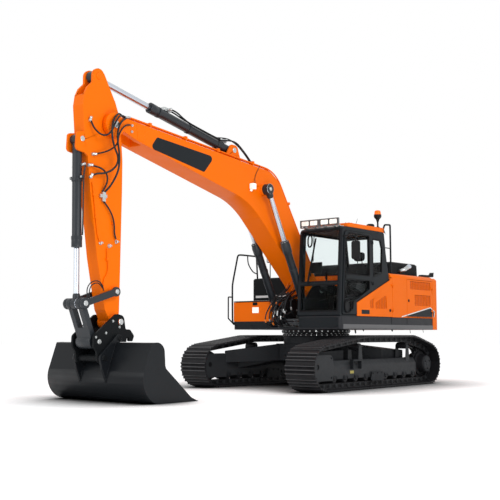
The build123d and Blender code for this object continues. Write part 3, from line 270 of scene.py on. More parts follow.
WHITE = finish("line_white", (0.78, 0.78, 0.78), 0.4)
LIP = finish("belt_lip", (0.13, 0.13, 0.135), 0.35, grain=(70, 0.05))
# Darker copy of the orange paint for the sheet behind the vent fins: painted shade.
SHADE = finish("vent_shade", (0.3, 0.045, 0.002), 0.6, blotch=(2, 0.1))
GRIP = finish("grip_black", (0.018, 0.018, 0.019), 0.8, grain=(400, 0.5), bump=(500, 0.8))
WORN = finish("worn_edge", (0.1, 0.1, 0.105), 0.35, metal=0.6, blotch=(8, 0.3),
              grain=(150, 0.2))

# Finish and edge softening of the CAD nodes
NODE_FINISHES = (
    (FRAME, 0.006, "car_body"), (STEEL, 0.003, "swing_bearing idlers final_drives"),
    (STEEL, 0.004, "rollers_left rollers_right"), (STEEL, 0, "track_left track_right"),
    (GUARD, 0.006, "track_frame_left track_frame_right"),
    (GUARD, 0.004, "idler_guard_left idler_guard_right"),
    (BELT, 0.005, "deck"), (ENGINE, 0.01, "engine"), (ORANGE, 0.012, "counterweight cab_roof"),
    (ORANGE, 0.008, "boom"), (ORANGE, 0.006, "arm"), (ORANGE, 0.004, "house_shell tool_box"),
    (ORANGE, 0.002, "left_front_door left_rear_door right_door"), (BLACK, 0.01, "fuel_tank engine_hood"),
    (BLACK, 0.006, "tail_guard"), (BLACK, 0.004, "coupler"), (DARK, 0.006, "cab_shell"),
    (DARK, 0.005, "tool_box_lid cab_door"), (DARK, 0, "handrails"), (GLASS, 0, "cab_glass cab_door_glass"),
    (CLOTH, 0, "seat"), (PLASTIC, 0.012, "consoles"), (PLASTIC, 0.008, "mirrors"), (PLASTIC, 0.004, "beacon"),
    (BAR, 0.003, "light_bar"), (ZINC, 0.003, "exhaust"), (LENS, 0.008, "boom_lamps"),
    (CYLINDER, 0.003, "boom_cylinder_barrel_left boom_cylinder_barrel_right arm_cylinder_barrel"),
    (CYLINDER, 0.003, "bucket_cylinder_barrel"), (CYLINDER, 0.006, "guide_links"),
    (CYLINDER, 0.008, "bucket_link"), (CHROME, 0.003, "boom_cylinder_rod_left boom_cylinder_rod_right"),
    (CHROME, 0.003, "arm_cylinder_rod bucket_cylinder_rod"), (BUCKET, 0.004, "bucket"),
)
SHARP_ANGLE = math.radians(32)


def soften(piece, width):
    """Rounds a piece's sharp edges."""
    edges = piece.modifiers.new("soft_edges", "BEVEL")
    edges.width = width
    edges.segments = 2
    edges.limit_method = "ANGLE"
    edges.angle_limit = SHARP_ANGLE
    edges.use_clamp_overlap = False
    edges.harden_normals = True


def dress_nodes():
    """Gives each CAD node its finish and rounds the edges of its plates and castings."""
    for material, width, names in NODE_FINISHES:
        for name in names.split():
            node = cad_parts[name]
            for slot in node.material_slots:
                slot.material = material
            if width:
                weld = node.modifiers.new("joined_faces", "WELD")
                weld.merge_threshold = 0.0001
                soften(node, width)


# Building of pieces


def rounded(corners, radius, steps=4):
    """The corners of a flat outline, each rounded with that radius."""
    points = []
    for index, corner in enumerate(corners):
        here = Vector(corner)
        to_last = (Vector(corners[index - 1]) - here).normalized()
        to_next = (Vector(corners[(index + 1) % len(corners)]) - here).normalized()
        half = to_last.angle(to_next) / 2
        middle = here + (to_last + to_next).normalized() * radius / math.sin(half)
        start = here + to_last * radius / math.tan(half) - middle
        end = here + to_next * radius / math.tan(half) - middle
        for step in range(steps + 1):
            points.append(tuple(middle + start.slerp(end, step / steps) * radius))
    return points


def edge_points(outline):
    """An outline's points, given as such or as (u low, u high, v low, v high, corner radius, steps)."""
    if isinstance(outline[0], tuple):
        return outline
    u_low, u_high, v_low, v_high, *corner = outline
    return rounded([(u_low, v_low), (u_high, v_low), (u_high, v_high), (u_low, v_high)], *corner)


def circle(count, radius=1.0, start=0.0):
    """Points evenly spaced round a circle."""
    angles = [start + 2 * math.pi * number / count for number in range(count)]
    return [(radius * math.cos(angle), radius * math.sin(angle)) for angle in angles]


def at_side(y, points):
    """Points in space of a line that runs in one plane of that y."""
    return [(x, y, z) for x, z in points]


class Piece:
    """A mesh built up from simple forms, which rides on one body. Each form gives the piece back."""

    def __init__(self):
        self.mesh = bmesh.new()

    def skin(self, rings, closed=False):
        """A surface over rings of points, filled at its ends unless it closes on itself."""
        rings = [[self.mesh.verts.new(point) for point in ring] for ring in rings]
        if not closed:
            self.mesh.faces.new(rings[0])
            self.mesh.faces.new(reversed(rings[-1]))
        for low, high in zip(rings, rings[1:] + rings[:1] * closed):
            for index in range(len(low)):
                self.mesh.faces.new((low[index - 1], low[index], high[index], high[index - 1]))
        return self

    def prism(self, corners, way):
        """A closed form from a flat outline in space, pulled along a vector."""
        return self.skin([corners, [Vector(point) + Vector(way) for point in corners]])

    def side(self, outline, y_low, y_high):
        """A plate cut to an (x, z) outline, between two y planes."""
        return self.prism(at_side(y_low, edge_points(outline)), (0, y_high - y_low, 0))

    def front(self, outline, x_low, x_high):
        """A plate cut to a (y, z) outline, between two x planes."""
        return self.prism([(x_low, y, z) for y, z in edge_points(outline)], (x_high - x_low, 0, 0))

    def plan(self, outline, z_low, z_high):
        """A plate cut to an (x, y) outline, between two heights."""
        return self.prism([(x, y, z_low) for x, y in edge_points(outline)], (0, 0, z_high - z_low))

    def block(self, low, high):
        """A block between two corners."""
        corners = [(low[0], low[1]), (high[0], low[1]), (high[0], high[1]), (low[0], high[1])]
        return self.plan(corners, low[2], high[2])

    def turned(self, base, way, stations, sides=24):
        """A form turned about an axis, from (distance along it, radius) stations."""
        axis = Vector(way).normalized()
        across = axis.orthogonal().normalized()
        third = axis.cross(across)
        rings = []
        for along, radius in stations:
            centre = Vector(base) + axis * along
            rings.append([centre + (across * u + third * v) * radius for u, v in circle(sides)])
        return self.skin(rings)

    def rod(self, start, end, radius, sides=16):
        """A round bar between two points."""
        way = Vector(end) - Vector(start)
        return self.turned(start, way, ((0, radius), (way.length, radius)), sides)

    def bolt(self, place, way, radius):
        """A hexagon bolt head on its washer."""
        self.turned(place, way, ((0, radius * 1.35), (radius * 0.2, radius * 1.35)), 12)
        head = ((0, radius), (radius * 0.8, radius), (radius * 0.95, radius * 0.8))
        return self.turned(place, way, head, 6)

    def bolts(self, places, way, radius):
        for place in places:
            self.bolt(place, way, radius)
        return self

    def fitting(self, place, way, radius, length):
        """A hose end: nut, collar and sleeve along an axis."""
        start = Vector(place)
        axis = Vector(way).normalized()
        self.turned(start, axis, ((0, radius * 1.5), (length * 0.35, radius * 1.5)), 6)
        collar = ((0, radius * 1.1), (length * 0.15, radius * 1.1))
        self.turned(start + axis * length * 0.35, axis, collar, 16)
        sleeve = ((0, radius * 1.3), (length * 0.4, radius * 1.3), (length * 0.5, radius * 1.12))
        return self.turned(start + axis * length * 0.5, axis, sleeve, 16)

    def done(self, name, body, material, bevel=0.0, slot=None):
        """Turns the forms into an object that rides on the body."""
        bmesh.ops.recalc_face_normals(self.mesh, faces=self.mesh.faces)
        mesh = bpy.data.meshes.new(name)
        self.mesh.to_mesh(mesh)
        self.mesh.free()
        return settle(bpy.data.objects.new(name, mesh), body, material, bevel)


def settle(piece, body, material, bevel=0.0):
    """Puts a mesh object in the scene, shaded smooth between its sharp edges."""
    scene.collection.objects.link(piece)
    piece.data.materials.append(material)
    piece.data.shade_smooth()
    piece.data.set_sharp_from_angle(angle=SHARP_ANGLE)
    if bevel:
        soften(piece, bevel)
    if body:
        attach(piece, body)
    return piece


def curve_object(name, points, radius, closed=False):
    """A round pipe or hose along one smooth line."""
    curve = bpy.data.curves.new(name, "CURVE")
    curve.dimensions = "3D"
    curve.bevel_depth = radius
    curve.bevel_resolution = 3
    curve.resolution_u = 8
    curve.use_fill_caps = True
    spline = curve.splines.new("NURBS")
    spline.points.add(len(points) - 1)
    for point, place in zip(spline.points, points):
        point.co = (*place, 1)
    spline.order_u = 3
    spline.use_endpoint_u = not closed
    spline.use_cyclic_u = closed
    return bpy.data.objects.new(name, curve)


def curve_mesh(name, points, radius):
    """The same form as a mesh, without an object."""
    form = curve_object(name, points, radius)
    mesh = bpy.data.meshes.new_from_object(form)
    bpy.data.curves.remove(form.data)
    return mesh


def pipe(name, body, points, radius, material, closed=False):
    """A rigid or clamped pipe on one body."""
    piece = curve_object(name, points, radius, closed)
    scene.collection.objects.link(piece)
    piece.data.materials.append(material)
    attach(piece, body)
    return piece


def route(name, points):
    """The points that a hose's own line follows, and their length."""
    mesh = curve_mesh(name + "_line", points, 0)
    path = [tuple(vertex.co) for vertex in mesh.vertices]
    bpy.data.meshes.remove(mesh)
    return path, sum(math.dist(a, b) for a, b in zip(path, path[1:]))


SLEEVE_SHARE = 0.66      # a ferrule's radius as a share of its hose's diameter


def jointed_hose(name, diameter, points, sleeves=()):
    """A hose between places on two bodies, built once as a fixed mesh that rides on neither, so it does not
    bend with the joint between them.

    sleeves holds the (from share, to share, material) of the metal ferrules along it.
    """

    def bending(piece_name, line, radius, material):
        mesh = curve_mesh(piece_name, line, radius)
        mesh.name = piece_name
        mesh.materials.clear()
        piece = settle(bpy.data.objects.new(piece_name, mesh), None, material)
        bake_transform(piece)
        return piece

    path, length = route(name, points)
    count = len(path) - 1
    for number, (low, high, metal) in enumerate(sleeves):
        part = path[round(low * count):round(high * count) + 1]
        bending(f"{name}_sleeve_{number + 1}", part, diameter * SLEEVE_SHARE, metal)
    piece = bending(name, points, diameter / 2, RUBBER)


def fixed_hose(name, body, diameter, points):
    """A hose between two places on one body."""
    length = route(name, points)[1]
    piece = pipe(name, body, points, diameter / 2, RUBBER)


# Crawler tracks

AXLE_X, AXLE_Z = 1.825, 0.3975
TRACK_Y = 1.195
SHOE_COUNT = 49
PIN_LINE_R = 0.31
SHOE_FACE = 0.0615       # from the pin line out to the shoes' outer face
SHOE_TIP = 0.0865        # from the pin line out to the grousers' tips
SHOE_HALF = 0.297        # half the length of a grouser
LINK_DEPTH = 0.045
LINK_OUT = 0.095
CARRIERS = ((0.5, 0.752), (-1.2, 0.752))
CARRIER_R = 0.07
FRAME_SIDE = TRACK_Y + 0.14
ROLLER_XS = [-1.37 + number * 0.3425 for number in range(9)]
GUARDED_ROLLER = 4       # number of the roller behind the chain guide
ARC_STEPS = 40


def chain_pins():
    """The pins of the chain, evenly spaced along the line that wraps its wheels."""
    wheels = [((AXLE_X, AXLE_Z), PIN_LINE_R)]
    wheels += [(centre, CARRIER_R + LINK_DEPTH) for centre in CARRIERS]
    wheels += [((-AXLE_X, AXLE_Z), PIN_LINE_R)]
    leave = []
    for (c0, r0), (c1, r1) in zip(wheels, wheels[1:] + wheels[:1]):
        dx, dz = c1[0] - c0[0], c1[1] - c0[1]
        leave.append(math.atan2(dz, dx) - math.acos((r0 - r1) / math.hypot(dx, dz)))
    line = []
    for index, (centre, radius) in enumerate(wheels):
        start, end = leave[index - 1], leave[index]
        while end < start:
            end += 2 * math.pi
        for step in range(ARC_STEPS + 1):
            angle = start + (end - start) * step / ARC_STEPS
            line.append((centre[0] + radius * math.cos(angle), centre[1] + radius * math.sin(angle)))
    line.append(line[0])
    lengths = [math.dist(a, b) for a, b in zip(line, line[1:])]
    total = sum(lengths)
    pins = []
    index, passed = 0, 0.0
    for number in range(SHOE_COUNT):
        target = total * number / SHOE_COUNT
        while passed + lengths[index] < target:
            passed += lengths[index]
            index += 1
        share = (target - passed) / lengths[index]
        a, b = line[index], line[index + 1]
        pins.append((a[0] + (b[0] - a[0]) * share, a[1] + (b[1] - a[1]) * share))
    return pins


def trapezium(centre, low, high, low_rise, high_rise):
    """Four corners about a centre, from the half widths at two heights, all as vectors."""
    foot, head = centre + low_rise, centre + high_rise
    return [foot - low, foot + low, head + high, head - high]


def track_details(side, hand):
    """Shoe bolts; light strips on each grouser's tip, as painted highlight; the chain's pin boss rings,
    lighter than track steel as painted highlight; and dark plates in the link openings, as painted shade.
    """
    pins = chain_pins()
    bolts, highlight_bosses, shade_windows, highlight_strips = Piece(), Piece(), Piece(), Piece()
    nothing = Vector((0, 0, 0))
    for p, q in zip(pins, pins[1:] + pins[:1]):
        along = Vector((q[0] - p[0], 0, q[1] - p[1]))
        out = Vector((along.z, 0, -along.x)).normalized()
        for share in (0.31, 0.69):
            for offset in (-0.07, 0.07):
                place = Vector((p[0], hand * (TRACK_Y + offset), p[1])) + along * share + out * SHOE_FACE
                bolts.turned(place, out, ((0, 0.014), (0.011, 0.014), (0.014, 0.01)), 6)
        step = along.normalized() * 0.007
        # Light strips on each grouser, painted highlight, left off the run that faces the ground.
        for share in (0.14, 0.5, 0.86) if out.z > -0.95 else ():
            tip = Vector((p[0], hand * (TRACK_Y - SHOE_HALF), p[1])) + along * share + out * SHOE_TIP
            highlight_strips.prism(trapezium(tip, step, step * 0.8, nothing, out * 0.0018), (0, hand * 2 * SHOE_HALF, 0))
        for face in BOTH_HANDS:
            y = hand * (TRACK_Y + face * (LINK_OUT - 0.002))
            # Boss rings in the lighter guard paint instead of track steel: painted highlight.
            boss = ((0, 0.04), (0.012, 0.037), (0.012, 0.02), (0.018, 0.018))
            highlight_bosses.turned((p[0], y, p[1]), (0, hand * face, 0), boss, 14)
            # Dark plates in the link openings: painted shade.
            for share, length in ((0.36, 0.028), (0.66, 0.02)):
                centre = Vector((p[0], y, p[1])) + along * share + out * 0.004
                step = along.normalized() * length
                corners = trapezium(centre, step, step * 0.6, out * -0.022, out * 0.024)
                shade_windows.prism(corners, (0, hand * face * 0.003, 0))
    bolts.done(f"shoe_bolts_{side}", "undercarriage", STEEL)
    highlight_bosses.done(f"chain_pin_bosses_{side}", "undercarriage", GUARD, slot="track_steel")
    highlight_strips.done(f"grouser_tips_{side}", "undercarriage", GROUSER_HIGHLIGHT)
    shade_windows.done(f"chain_windows_{side}", "undercarriage", SEAL, slot="track_steel")


def frame_details(side, hand):
    """Roller saddles and caps, chain guide, guard, step and drive cover of one track frame."""
    face = hand * FRAME_SIDE
    out = (0, hand, 0)
    saddles, studs, wheels, step, ring = Piece(), Piece(), Piece(), Piece(), Piece()

    def bolted(outline, depth, thick, xs, z, radius):
        """A plate on each face of the frame, with a row of bolts."""
        for end in BOTH_HANDS:
            y = hand * (TRACK_Y + end * depth)
            saddles.side(outline, y, y + hand * end * thick)
            studs.bolts([(x, y + hand * end * thick, z) for x in xs], (0, hand * end, 0), radius)

    rim = ((0, 0.074), (0.006, 0.074), (0.012, 0.066), (0.012, 0.034), (0.026, 0.03), (0.026, 0.012))
    for x in ROLLER_XS:
        saddle = [(x - 0.075, 0.2), (x + 0.075, 0.2), (x + 0.055, 0.262), (x - 0.055, 0.262)]
        bolted(saddle, 0.1395, 0.016, (x - 0.042, x + 0.042), 0.225, 0.011)
        for end in BOTH_HANDS:
            wheels.turned((x, hand * (TRACK_Y + end * 0.124), 0.2128), (0, hand * end, 0), rim, 24)
    x = ROLLER_XS[GUARDED_ROLLER]
    guide = [
        (x - 0.2, 0.13), (x + 0.2, 0.13), (x + 0.235, 0.16), (x + 0.19, 0.3), (x - 0.19, 0.3),
        (x - 0.235, 0.16),
    ]
    bolted(guide, 0.1555, 0.018, (x - 0.15, x, x + 0.15), 0.272, 0.013)
    saddles.done(f"roller_saddles_{side}", "undercarriage", FRAME, 0.003)
    wheels.done(f"roller_caps_{side}", "undercarriage", STEEL)
    y = hand * (TRACK_Y - 0.14)
    guard = [(1.44, 0.18), (1.97, 0.18), (2.01, 0.23), (2.01, 0.56), (1.95, 0.62), (1.5, 0.62), (1.44, 0.56)]
    Piece().side(guard, y, y - hand * 0.02).done(f"guard_inner_{side}", "undercarriage", GUARD, 0.004)
    # A thin dark disc on the guard stands in for its opening: painted shade.
    shade_disc = Piece().turned((1.9, y - hand * 0.0195, 0.42), (0, -hand, 0), ((0, 0.045), (0.002, 0.045)), 24)
    shade_disc.done(f"guard_hole_{side}", "undercarriage", SEAL, slot="black_paint")
    studs.done(f"roller_bolts_{side}", "undercarriage", STEEL)
    step.side([(0.6, 0.53), (0.88, 0.53), (0.88, 0.5), (0.6, 0.5)], face, face + hand * 0.075)
    for x in (0.6, 0.865):
        step.side([(x, 0.5), (x + 0.015, 0.5), (x + 0.015, 0.36), (x, 0.4)], face, face + hand * 0.07)
    step.side([(0.63, 0.47), (0.85, 0.47), (0.85, 0.44), (0.63, 0.44)], face, face + hand * 0.006)
    step.done(f"frame_step_{side}", "undercarriage", FRAME, 0.003)
    plate = Piece().side((0.76, 0.88, 0.285, 0.335, 0.006, 2), face, face + hand * 0.003)
    plate.done(f"frame_plate_{side}", "undercarriage", BRASS, 0.001)
    outer = hand * (TRACK_Y + 0.205)
    hub = ((-0.01, 0.148), (0.004, 0.146), (0.012, 0.12), (0.012, 0.05), (0.018, 0.045))
    cover = Piece().turned((-AXLE_X, outer, AXLE_Z), out, hub, 40)
    cover.done(f"drive_cover_{side}", "undercarriage", FRAME, slot="track_steel")
    y = hand * (TRACK_Y + 0.0595)
    ring.bolts([(-AXLE_X + u, y, AXLE_Z + v) for u, v in circle(24, 0.208)], out, 0.01)
    y = outer + hand * 0.0115
    ring.bolts([(-AXLE_X + u, y, AXLE_Z + v) for u, v in circle(3, 0.095, 0.16 * math.pi)], out, 0.016)
    ring.done(f"drive_bolts_{side}", "undercarriage", STEEL)
    places = at_side(hand * (TRACK_Y + 0.16), ((1.49, 0.235), (1.49, 0.565), (1.94, 0.235), (1.95, 0.565)))
    Piece().bolts(places, out, 0.014).done(f"guard_bolts_{side}", "undercarriage", FRAME)


def ring_details():
    """Bolts and skirt of the slew ring, and the covers and legs of the car body."""
    bolts, legs, studs, turning = Piece(), Piece(), Piece(), Piece()
    for x, y in circle(40):
        bolts.bolt((0.603 * x, 0.603 * y, 0.984), UP, 0.014)
        bolts.bolt((0.632 * x, 0.632 * y, 0.955), (x, y, 0), 0.011)
    bolts.done("ring_bolts", "undercarriage", ZINC, slot="track_steel")
    hatch = (-0.3, 0.3, 0.56, 0.73, 0.03)
    cover = Piece().front(hatch, 0.6195, 0.628).front(hatch, -0.628, -0.6195)
    cover.turned((0, 0, 0.4805), (0, 0, -1), ((0, 0.3), (0.01, 0.3), (0.01, 0.1), (0.03, 0.09)), 40)
    cover.done("body_covers", "undercarriage", FRAME, 0.002)
    root = ((0.17, 0.478), (0.635, 0.478), (0.635, 0.792), (0.17, 0.792))
    foot = ((0.66, 0.44), (1.475, 0.44), (1.475, 0.665), (0.66, 0.69))
    for way in BOTH_HANDS:
        for hand in BOTH_HANDS:
            ends = ((0.42, root), (1.054, foot))
            legs.skin([[(way * x, hand * y, z) for x, z in outline] for y, outline in ends])
    legs.done("leg_boxes", "undercarriage", FRAME, 0.006)
    for way in BOTH_HANDS:
        places = [(way * 0.628, y, z) for y in (-0.27, -0.09, 0.09, 0.27) for z in (0.58, 0.71)]
        studs.bolts(places, (way, 0, 0), 0.01)
    studs.bolts([(x, y, 0.4705) for x, y in circle(12, 0.27)], (0, 0, -1), 0.011)
    studs.done("body_cover_bolts", "undercarriage", STEEL, slot="black_paint")
    for x, y in circle(36, 1.0, math.pi / 36):
        turning.bolt((0.6515 * x, 0.6515 * y, 1.03), (x, y, 0), 0.011)
    turning.done("ring_bolts_turning", "house", ZINC, slot="dark_paint")
    skirt = ((0, 0.5), (0, 0.646), (0.006, 0.652), (0.0675, 0.652), (0.0675, 0.5))
    Piece().turned((0, 0, 0.992), UP, skirt, 72).done("ring_skirt", "house", STEEL, slot="dark_paint")


# Upper structure

SIDE_Y = 1.355           # outer face of the bodywork
DECK_Y = 1.345
CAB_FACE = 1.35          # outer face of the cab door


def belt_details():
    """Rounded lip, seams and small rods along the deck's rim, and the covers on its front."""
    lip, trim, bolts = Piece(), Piece(), Piece()
    section = ((-0.002, 1.15), (0.008, 1.143), (0.01, 1.128), (0.002, 1.07), (-0.002, 1.062))
    for hand, front in ((1, 1.1), (-1, 0.8)):
        lip.prism([(-2.199, hand * (DECK_Y + proud), z) for proud, z in section], (front + 2.199, 0, 0))
        for x in (-0.56, -1.15):
            seam = (x - 0.004, x + 0.004, 1.16, 1.285, 0.003, 1)
            trim.side(seam, hand * DECK_Y, hand * (DECK_Y + 0.003))
    lip.done("belt_lips", "house", LIP, 0.001)
    rods = (
        (0.57, 0.07, 0.014), (0.3, 0.03, 0.01), (-0.73, 0.03, 0.014), (-1.43, 0.07, 0.005),
        (-1.96, 0.055, 0.005),
    )
    for x, drop, radius in rods:
        trim.rod((x, 1.25, 1.062), (x - 0.02, 1.25, 1.06 - drop), radius, 10)
    trim.done("belt_trim", "house", BLACK)
    bumper = Piece().front((-1.3, -0.45, 1.09, 1.2, 0.02), 0.8795, 0.8895)
    bumper.front((0.46, 1.3, 1.09, 1.27, 0.02), 1.1845, 1.1945)
    bumper.done("front_covers", "house", DARK, 0.003, "black_paint")
    bolts.bolts([(0.8895, y, 1.145) for y in (-1.26, -0.88, -0.5)], (1, 0, 0), 0.011)
    bolts.bolts([(1.1945, y, z) for y in (0.5, 1.26) for z in (1.12, 1.24)], (1, 0, 0), 0.011)
    bolts.done("front_cover_bolts", "house", DARK, slot="black_paint")


# Blank dark wedge on the tail, as (x, z) points, with the pale line along its upper edge
WEDGE_NOSE, WEDGE_PEAK, WEDGE_TAIL = (-0.927, 1.314), (-2.092, 1.513), (-2.289, 1.43)
WEDGE_FOOT = (-2.248, 1.314)
DOOR_FRONT, DOOR_REAR = -1.158, -2.168
TAIL_FRONT = -2.204


def edge_height(x):
    """Height of the wedge's upper edge at x."""
    ends = (WEDGE_NOSE, WEDGE_PEAK) if x > WEDGE_PEAK[0] else (WEDGE_PEAK, WEDGE_TAIL)
    (x0, z0), (x1, z1) = ends
    return z0 + (z1 - z0) * (x - x0) / (x1 - x0)


def wedge(side, hand, door):
    """The blank wedge, in one plate on each panel that it crosses."""
    low = WEDGE_NOSE[1]
    y0, y1, y2 = hand * SIDE_Y, hand * (SIDE_Y + 0.0015), hand * (SIDE_Y + 0.0025)
    spans = (
        ("shell", "house", WEDGE_NOSE[0], -1.142), ("door", door, DOOR_FRONT, DOOR_REAR),
        ("tail", "house", TAIL_FRONT, WEDGE_TAIL[0]),
    )
    for part, body, front, rear in spans:
        xs = [front] + [x for x in (WEDGE_PEAK[0],) if rear < x < front] + [rear]
        top = [(x, edge_height(x)) for x in xs]
        foot = [(WEDGE_FOOT[0], low)] if part == "tail" else [(rear, low)]
        start = [] if abs(edge_height(front) - low) < 0.001 else [(front, low)]
        Piece().side(start + top + foot, y0, y1).done(f"wedge_{part}_{side}", body, DARK)
        line = Piece()
        for (xa, za), (xb, zb) in zip(top, top[1:]):
            line.side([(xa, za), (xb, zb), (xb, zb - 0.02), (xa, za - 0.02)], y1, y2)
        if part == "tail":
            inner = [(WEDGE_FOOT[0] + 0.02, low), (WEDGE_TAIL[0] + 0.02, 1.44)]
            line.side([WEDGE_TAIL, WEDGE_FOOT] + inner, y1, y2)
        line.done(f"wedge_line_{part}_{side}", body, WHITE)


FIN_STEP = 0.014


def vent_louvres(name, body, outline, hand):
    """Close horizontal fins over a darker orange sheet, painted shade, in one recess of the bodywork."""
    heights = [z for x, z in outline]
    floor_y = hand * (SIDE_Y - 0.009)
    # The darker sheet behind the fins is painted shade.
    Piece().side(outline, floor_y, floor_y + hand * 0.001).done(f"{name}_mesh", body, SHADE)
    fins = Piece()
    deep, proud = SIDE_Y - 0.0085, SIDE_Y - 0.0035
    z = min(heights) + 0.01
    while z < max(heights) - 0.008:
        crossings = []
        for (xa, za), (xb, zb) in zip(outline, outline[1:] + outline[:1]):
            if (za - z) * (zb - z) < 0:
                crossings.append(xa + (xb - xa) * (z - za) / (zb - za))
        if len(crossings) == 2 and max(crossings) - min(crossings) > 0.03:
            left, right = min(crossings) + 0.004, max(crossings) - 0.004
            section = ((deep, z + 0.004), (proud, z), (proud, z - 0.003), (deep, z - 0.004))
            fins.prism([(left, hand * y, height) for y, height in section], (right - left, 0, 0))
        z += FIN_STEP
    fins.done(f"{name}_fins", body, ORANGE)


REAR_PANELS = (("left", 1, "left_rear_panel"), ("right", -1, "right_panel"))
UPPER_VENT = edge_points((-2.11, -1.285, 1.85, 2.008, 0.02))
LOWER_VENT = edge_points((-2.105, -1.455, 1.535, 1.745, 0.02))
SLANT_VENT = rounded([(-0.385, 1.447), (0.02, 1.445), (0.02, 1.556), (-0.368, 1.7)], 0.02)
SMALL_VENT = rounded([(0.092, 1.448), (0.205, 1.448), (0.205, 1.59), (0.092, 1.618)], 0.01)
LOCKS = (
    ("front_panel_lock", "left_front_panel", -0.5, 1.417, 1),
    ("rear_panel_lock", "left_rear_panel", -1.215, 1.622, 1),
    ("right_panel_lock", "right_panel", -1.215, 1.622, -1),
)


def panel_details():
    """Grilles, locks, blank badge and wedge on the bodywork's sides."""
    for side, hand, body in REAR_PANELS:
        vent_louvres(f"upper_vent_{side}", body, UPPER_VENT, hand)
        vent_louvres(f"lower_vent_{side}", body, LOWER_VENT, hand)
    vent_louvres("slant_vent", "left_front_panel", SLANT_VENT, 1)
    vent_louvres("small_vent", "left_front_panel", SMALL_VENT, 1)
    rim = ((-0.001, 0.03), (0.004, 0.028), (0.004, 0.018), (0.007, 0.016))
    for name, body, x, z, hand in LOCKS:
        y = hand * SIDE_Y
        slot = (x - 0.003, x + 0.003, z - 0.01, z + 0.01, 0.002, 1)
        lock = Piece().turned((x, y, z), (0, hand, 0), rim, 20).side(slot, y + hand * 0.007, y + hand * 0.009)
        lock.done(name, body, BLACK)
    badge = Piece().side((0.24, 0.51, 1.335, 1.411, 0.008, 2), SIDE_Y, SIDE_Y + 0.002)
    badge.done("blank_badge", "left_front_panel", DARK)
    for side, hand, body in REAR_PANELS:
        wedge(side, hand, body)


TAIL_R = 2.7505          # outer face of the counterweight about the slewing axis


def tail_details():
    """Lifting eyes, reflectors and rear eye of the counterweight, and the roof's pads and bolts."""
    eyes, holes, red, roof = Piece(), Piece(), Piece(), Piece()
    outline = rounded([(-2.5, 2.104), (-2.36, 2.104), (-2.39, 2.18), (-2.47, 2.18)], 0.02)
    for hand in BOTH_HANDS:
        eyes.side(outline, hand * 0.62, hand * 0.66)
        holes.turned((-2.43, hand * 0.619, 2.145), (0, hand, 0), ((0, 0.02), (0.042, 0.02)), 20)
        angle = math.atan2(hand * 0.95, -2.58)
        out = Vector((math.cos(angle), math.sin(angle), 0))
        centre = out * TAIL_R + Vector((0, 0, 1.3))
        across = Vector((-out.y, out.x, 0))
        plate = edge_points((-0.09, 0.09, -0.03, 0.03, 0.012, 3))
        red.prism([centre + across * u + Vector((0, 0, v)) - out * 0.008 for u, v in plate], out * 0.012)
    eyes.done("lifting_eyes", "house", ORANGE, 0.003)
    holes.done("lifting_eye_bores", "house", BLACK)
    # The reflectors' faint glow is painted light.
    red.done("tail_reflectors", "house", RED_GLOW, 0.002)
    eye = Piece().front((-0.07, 0.07, 1.9, 1.98, 0.02), -2.77, -2.735)
    eye.turned((-2.77, 0, 1.94), (-1, 0, 0), ((0, 0.022), (0.01, 0.02), (0.01, 0.012)), 20)
    eye.done("rear_eye", "house", PLASTIC, 0.003)
    for y in (-1.05, 1.16):
        roof.plan((-2.1, -0.7, y - 0.07, y + 0.07, 0.02), 2.1245, 2.1275)
    roof.done("walkway_pads", "house", GRIP, 0.001)
    caps = ((-0.75, -0.95), (-0.75, 0.95), (-0.62, 0.45), (-2.16, -1.0))
    Piece().bolts([(x, y, 2.1245) for x, y in caps], UP, 0.014).done("roof_bolts", "house", BLACK)


def hood_details():
    """Raised panel, handles and fins of the engine hood, and the pipe's bright tip."""
    panel = Piece().side((-2.06, -1.5, 2.16, 2.34, 0.03), 1.0495, 1.056)
    panel.side((-1.33, -1.09, 2.16, 2.3, 0.03), 1.0495, 1.056)
    panel.plan((-1.95, -1.2, -0.62, 0.9, 0.05), 2.3945, 2.402)
    panel.done("hood_panels", "hood", BLACK, 0.003)
    fins = Piece()
    for number in range(7):
        z = 2.18 + number * 0.022
        fins.side((-2.02, -1.66, z, z + 0.01, 0.004, 1), 1.0555, 1.0615)
        fins.side((-2.02, -1.3, z, z + 0.01, 0.004, 1), -0.7565, -0.7495)
    fins.done("hood_fins", "hood", BLACK)
    for number, y in enumerate((-0.35, 0.65)):
        end = y + 0.16
        points = [(-1.005, y, 2.19), (-0.965, y, 2.19), (-0.965, y, 2.2)]
        points += [(-0.965, end, 2.2), (-0.965, end, 2.19), (-1.005, end, 2.19)]
        pipe(f"hood_handle_{number + 1}", "hood", points, 0.009, BLACK)
    start, end = Vector((-1.4, 1.135, 2.225)), Vector((-1.6, 1.165, 2.32))
    way = (end - start).normalized()
    tip = ((0, 0.0435), (0.004, 0.047), (0.075, 0.048), (0.075, 0.039), (0.03, 0.037))
    Piece().turned(end - way * 0.07, way, tip, 28).done("exhaust_tip", "hood", CHROME, slot="black_paint")
    bore = Piece().turned(end - way * 0.02, way, ((0, 0.037), (0.021, 0.037)), 28)
    bore.done("exhaust_bore", "hood", SEAL, slot="black_paint")


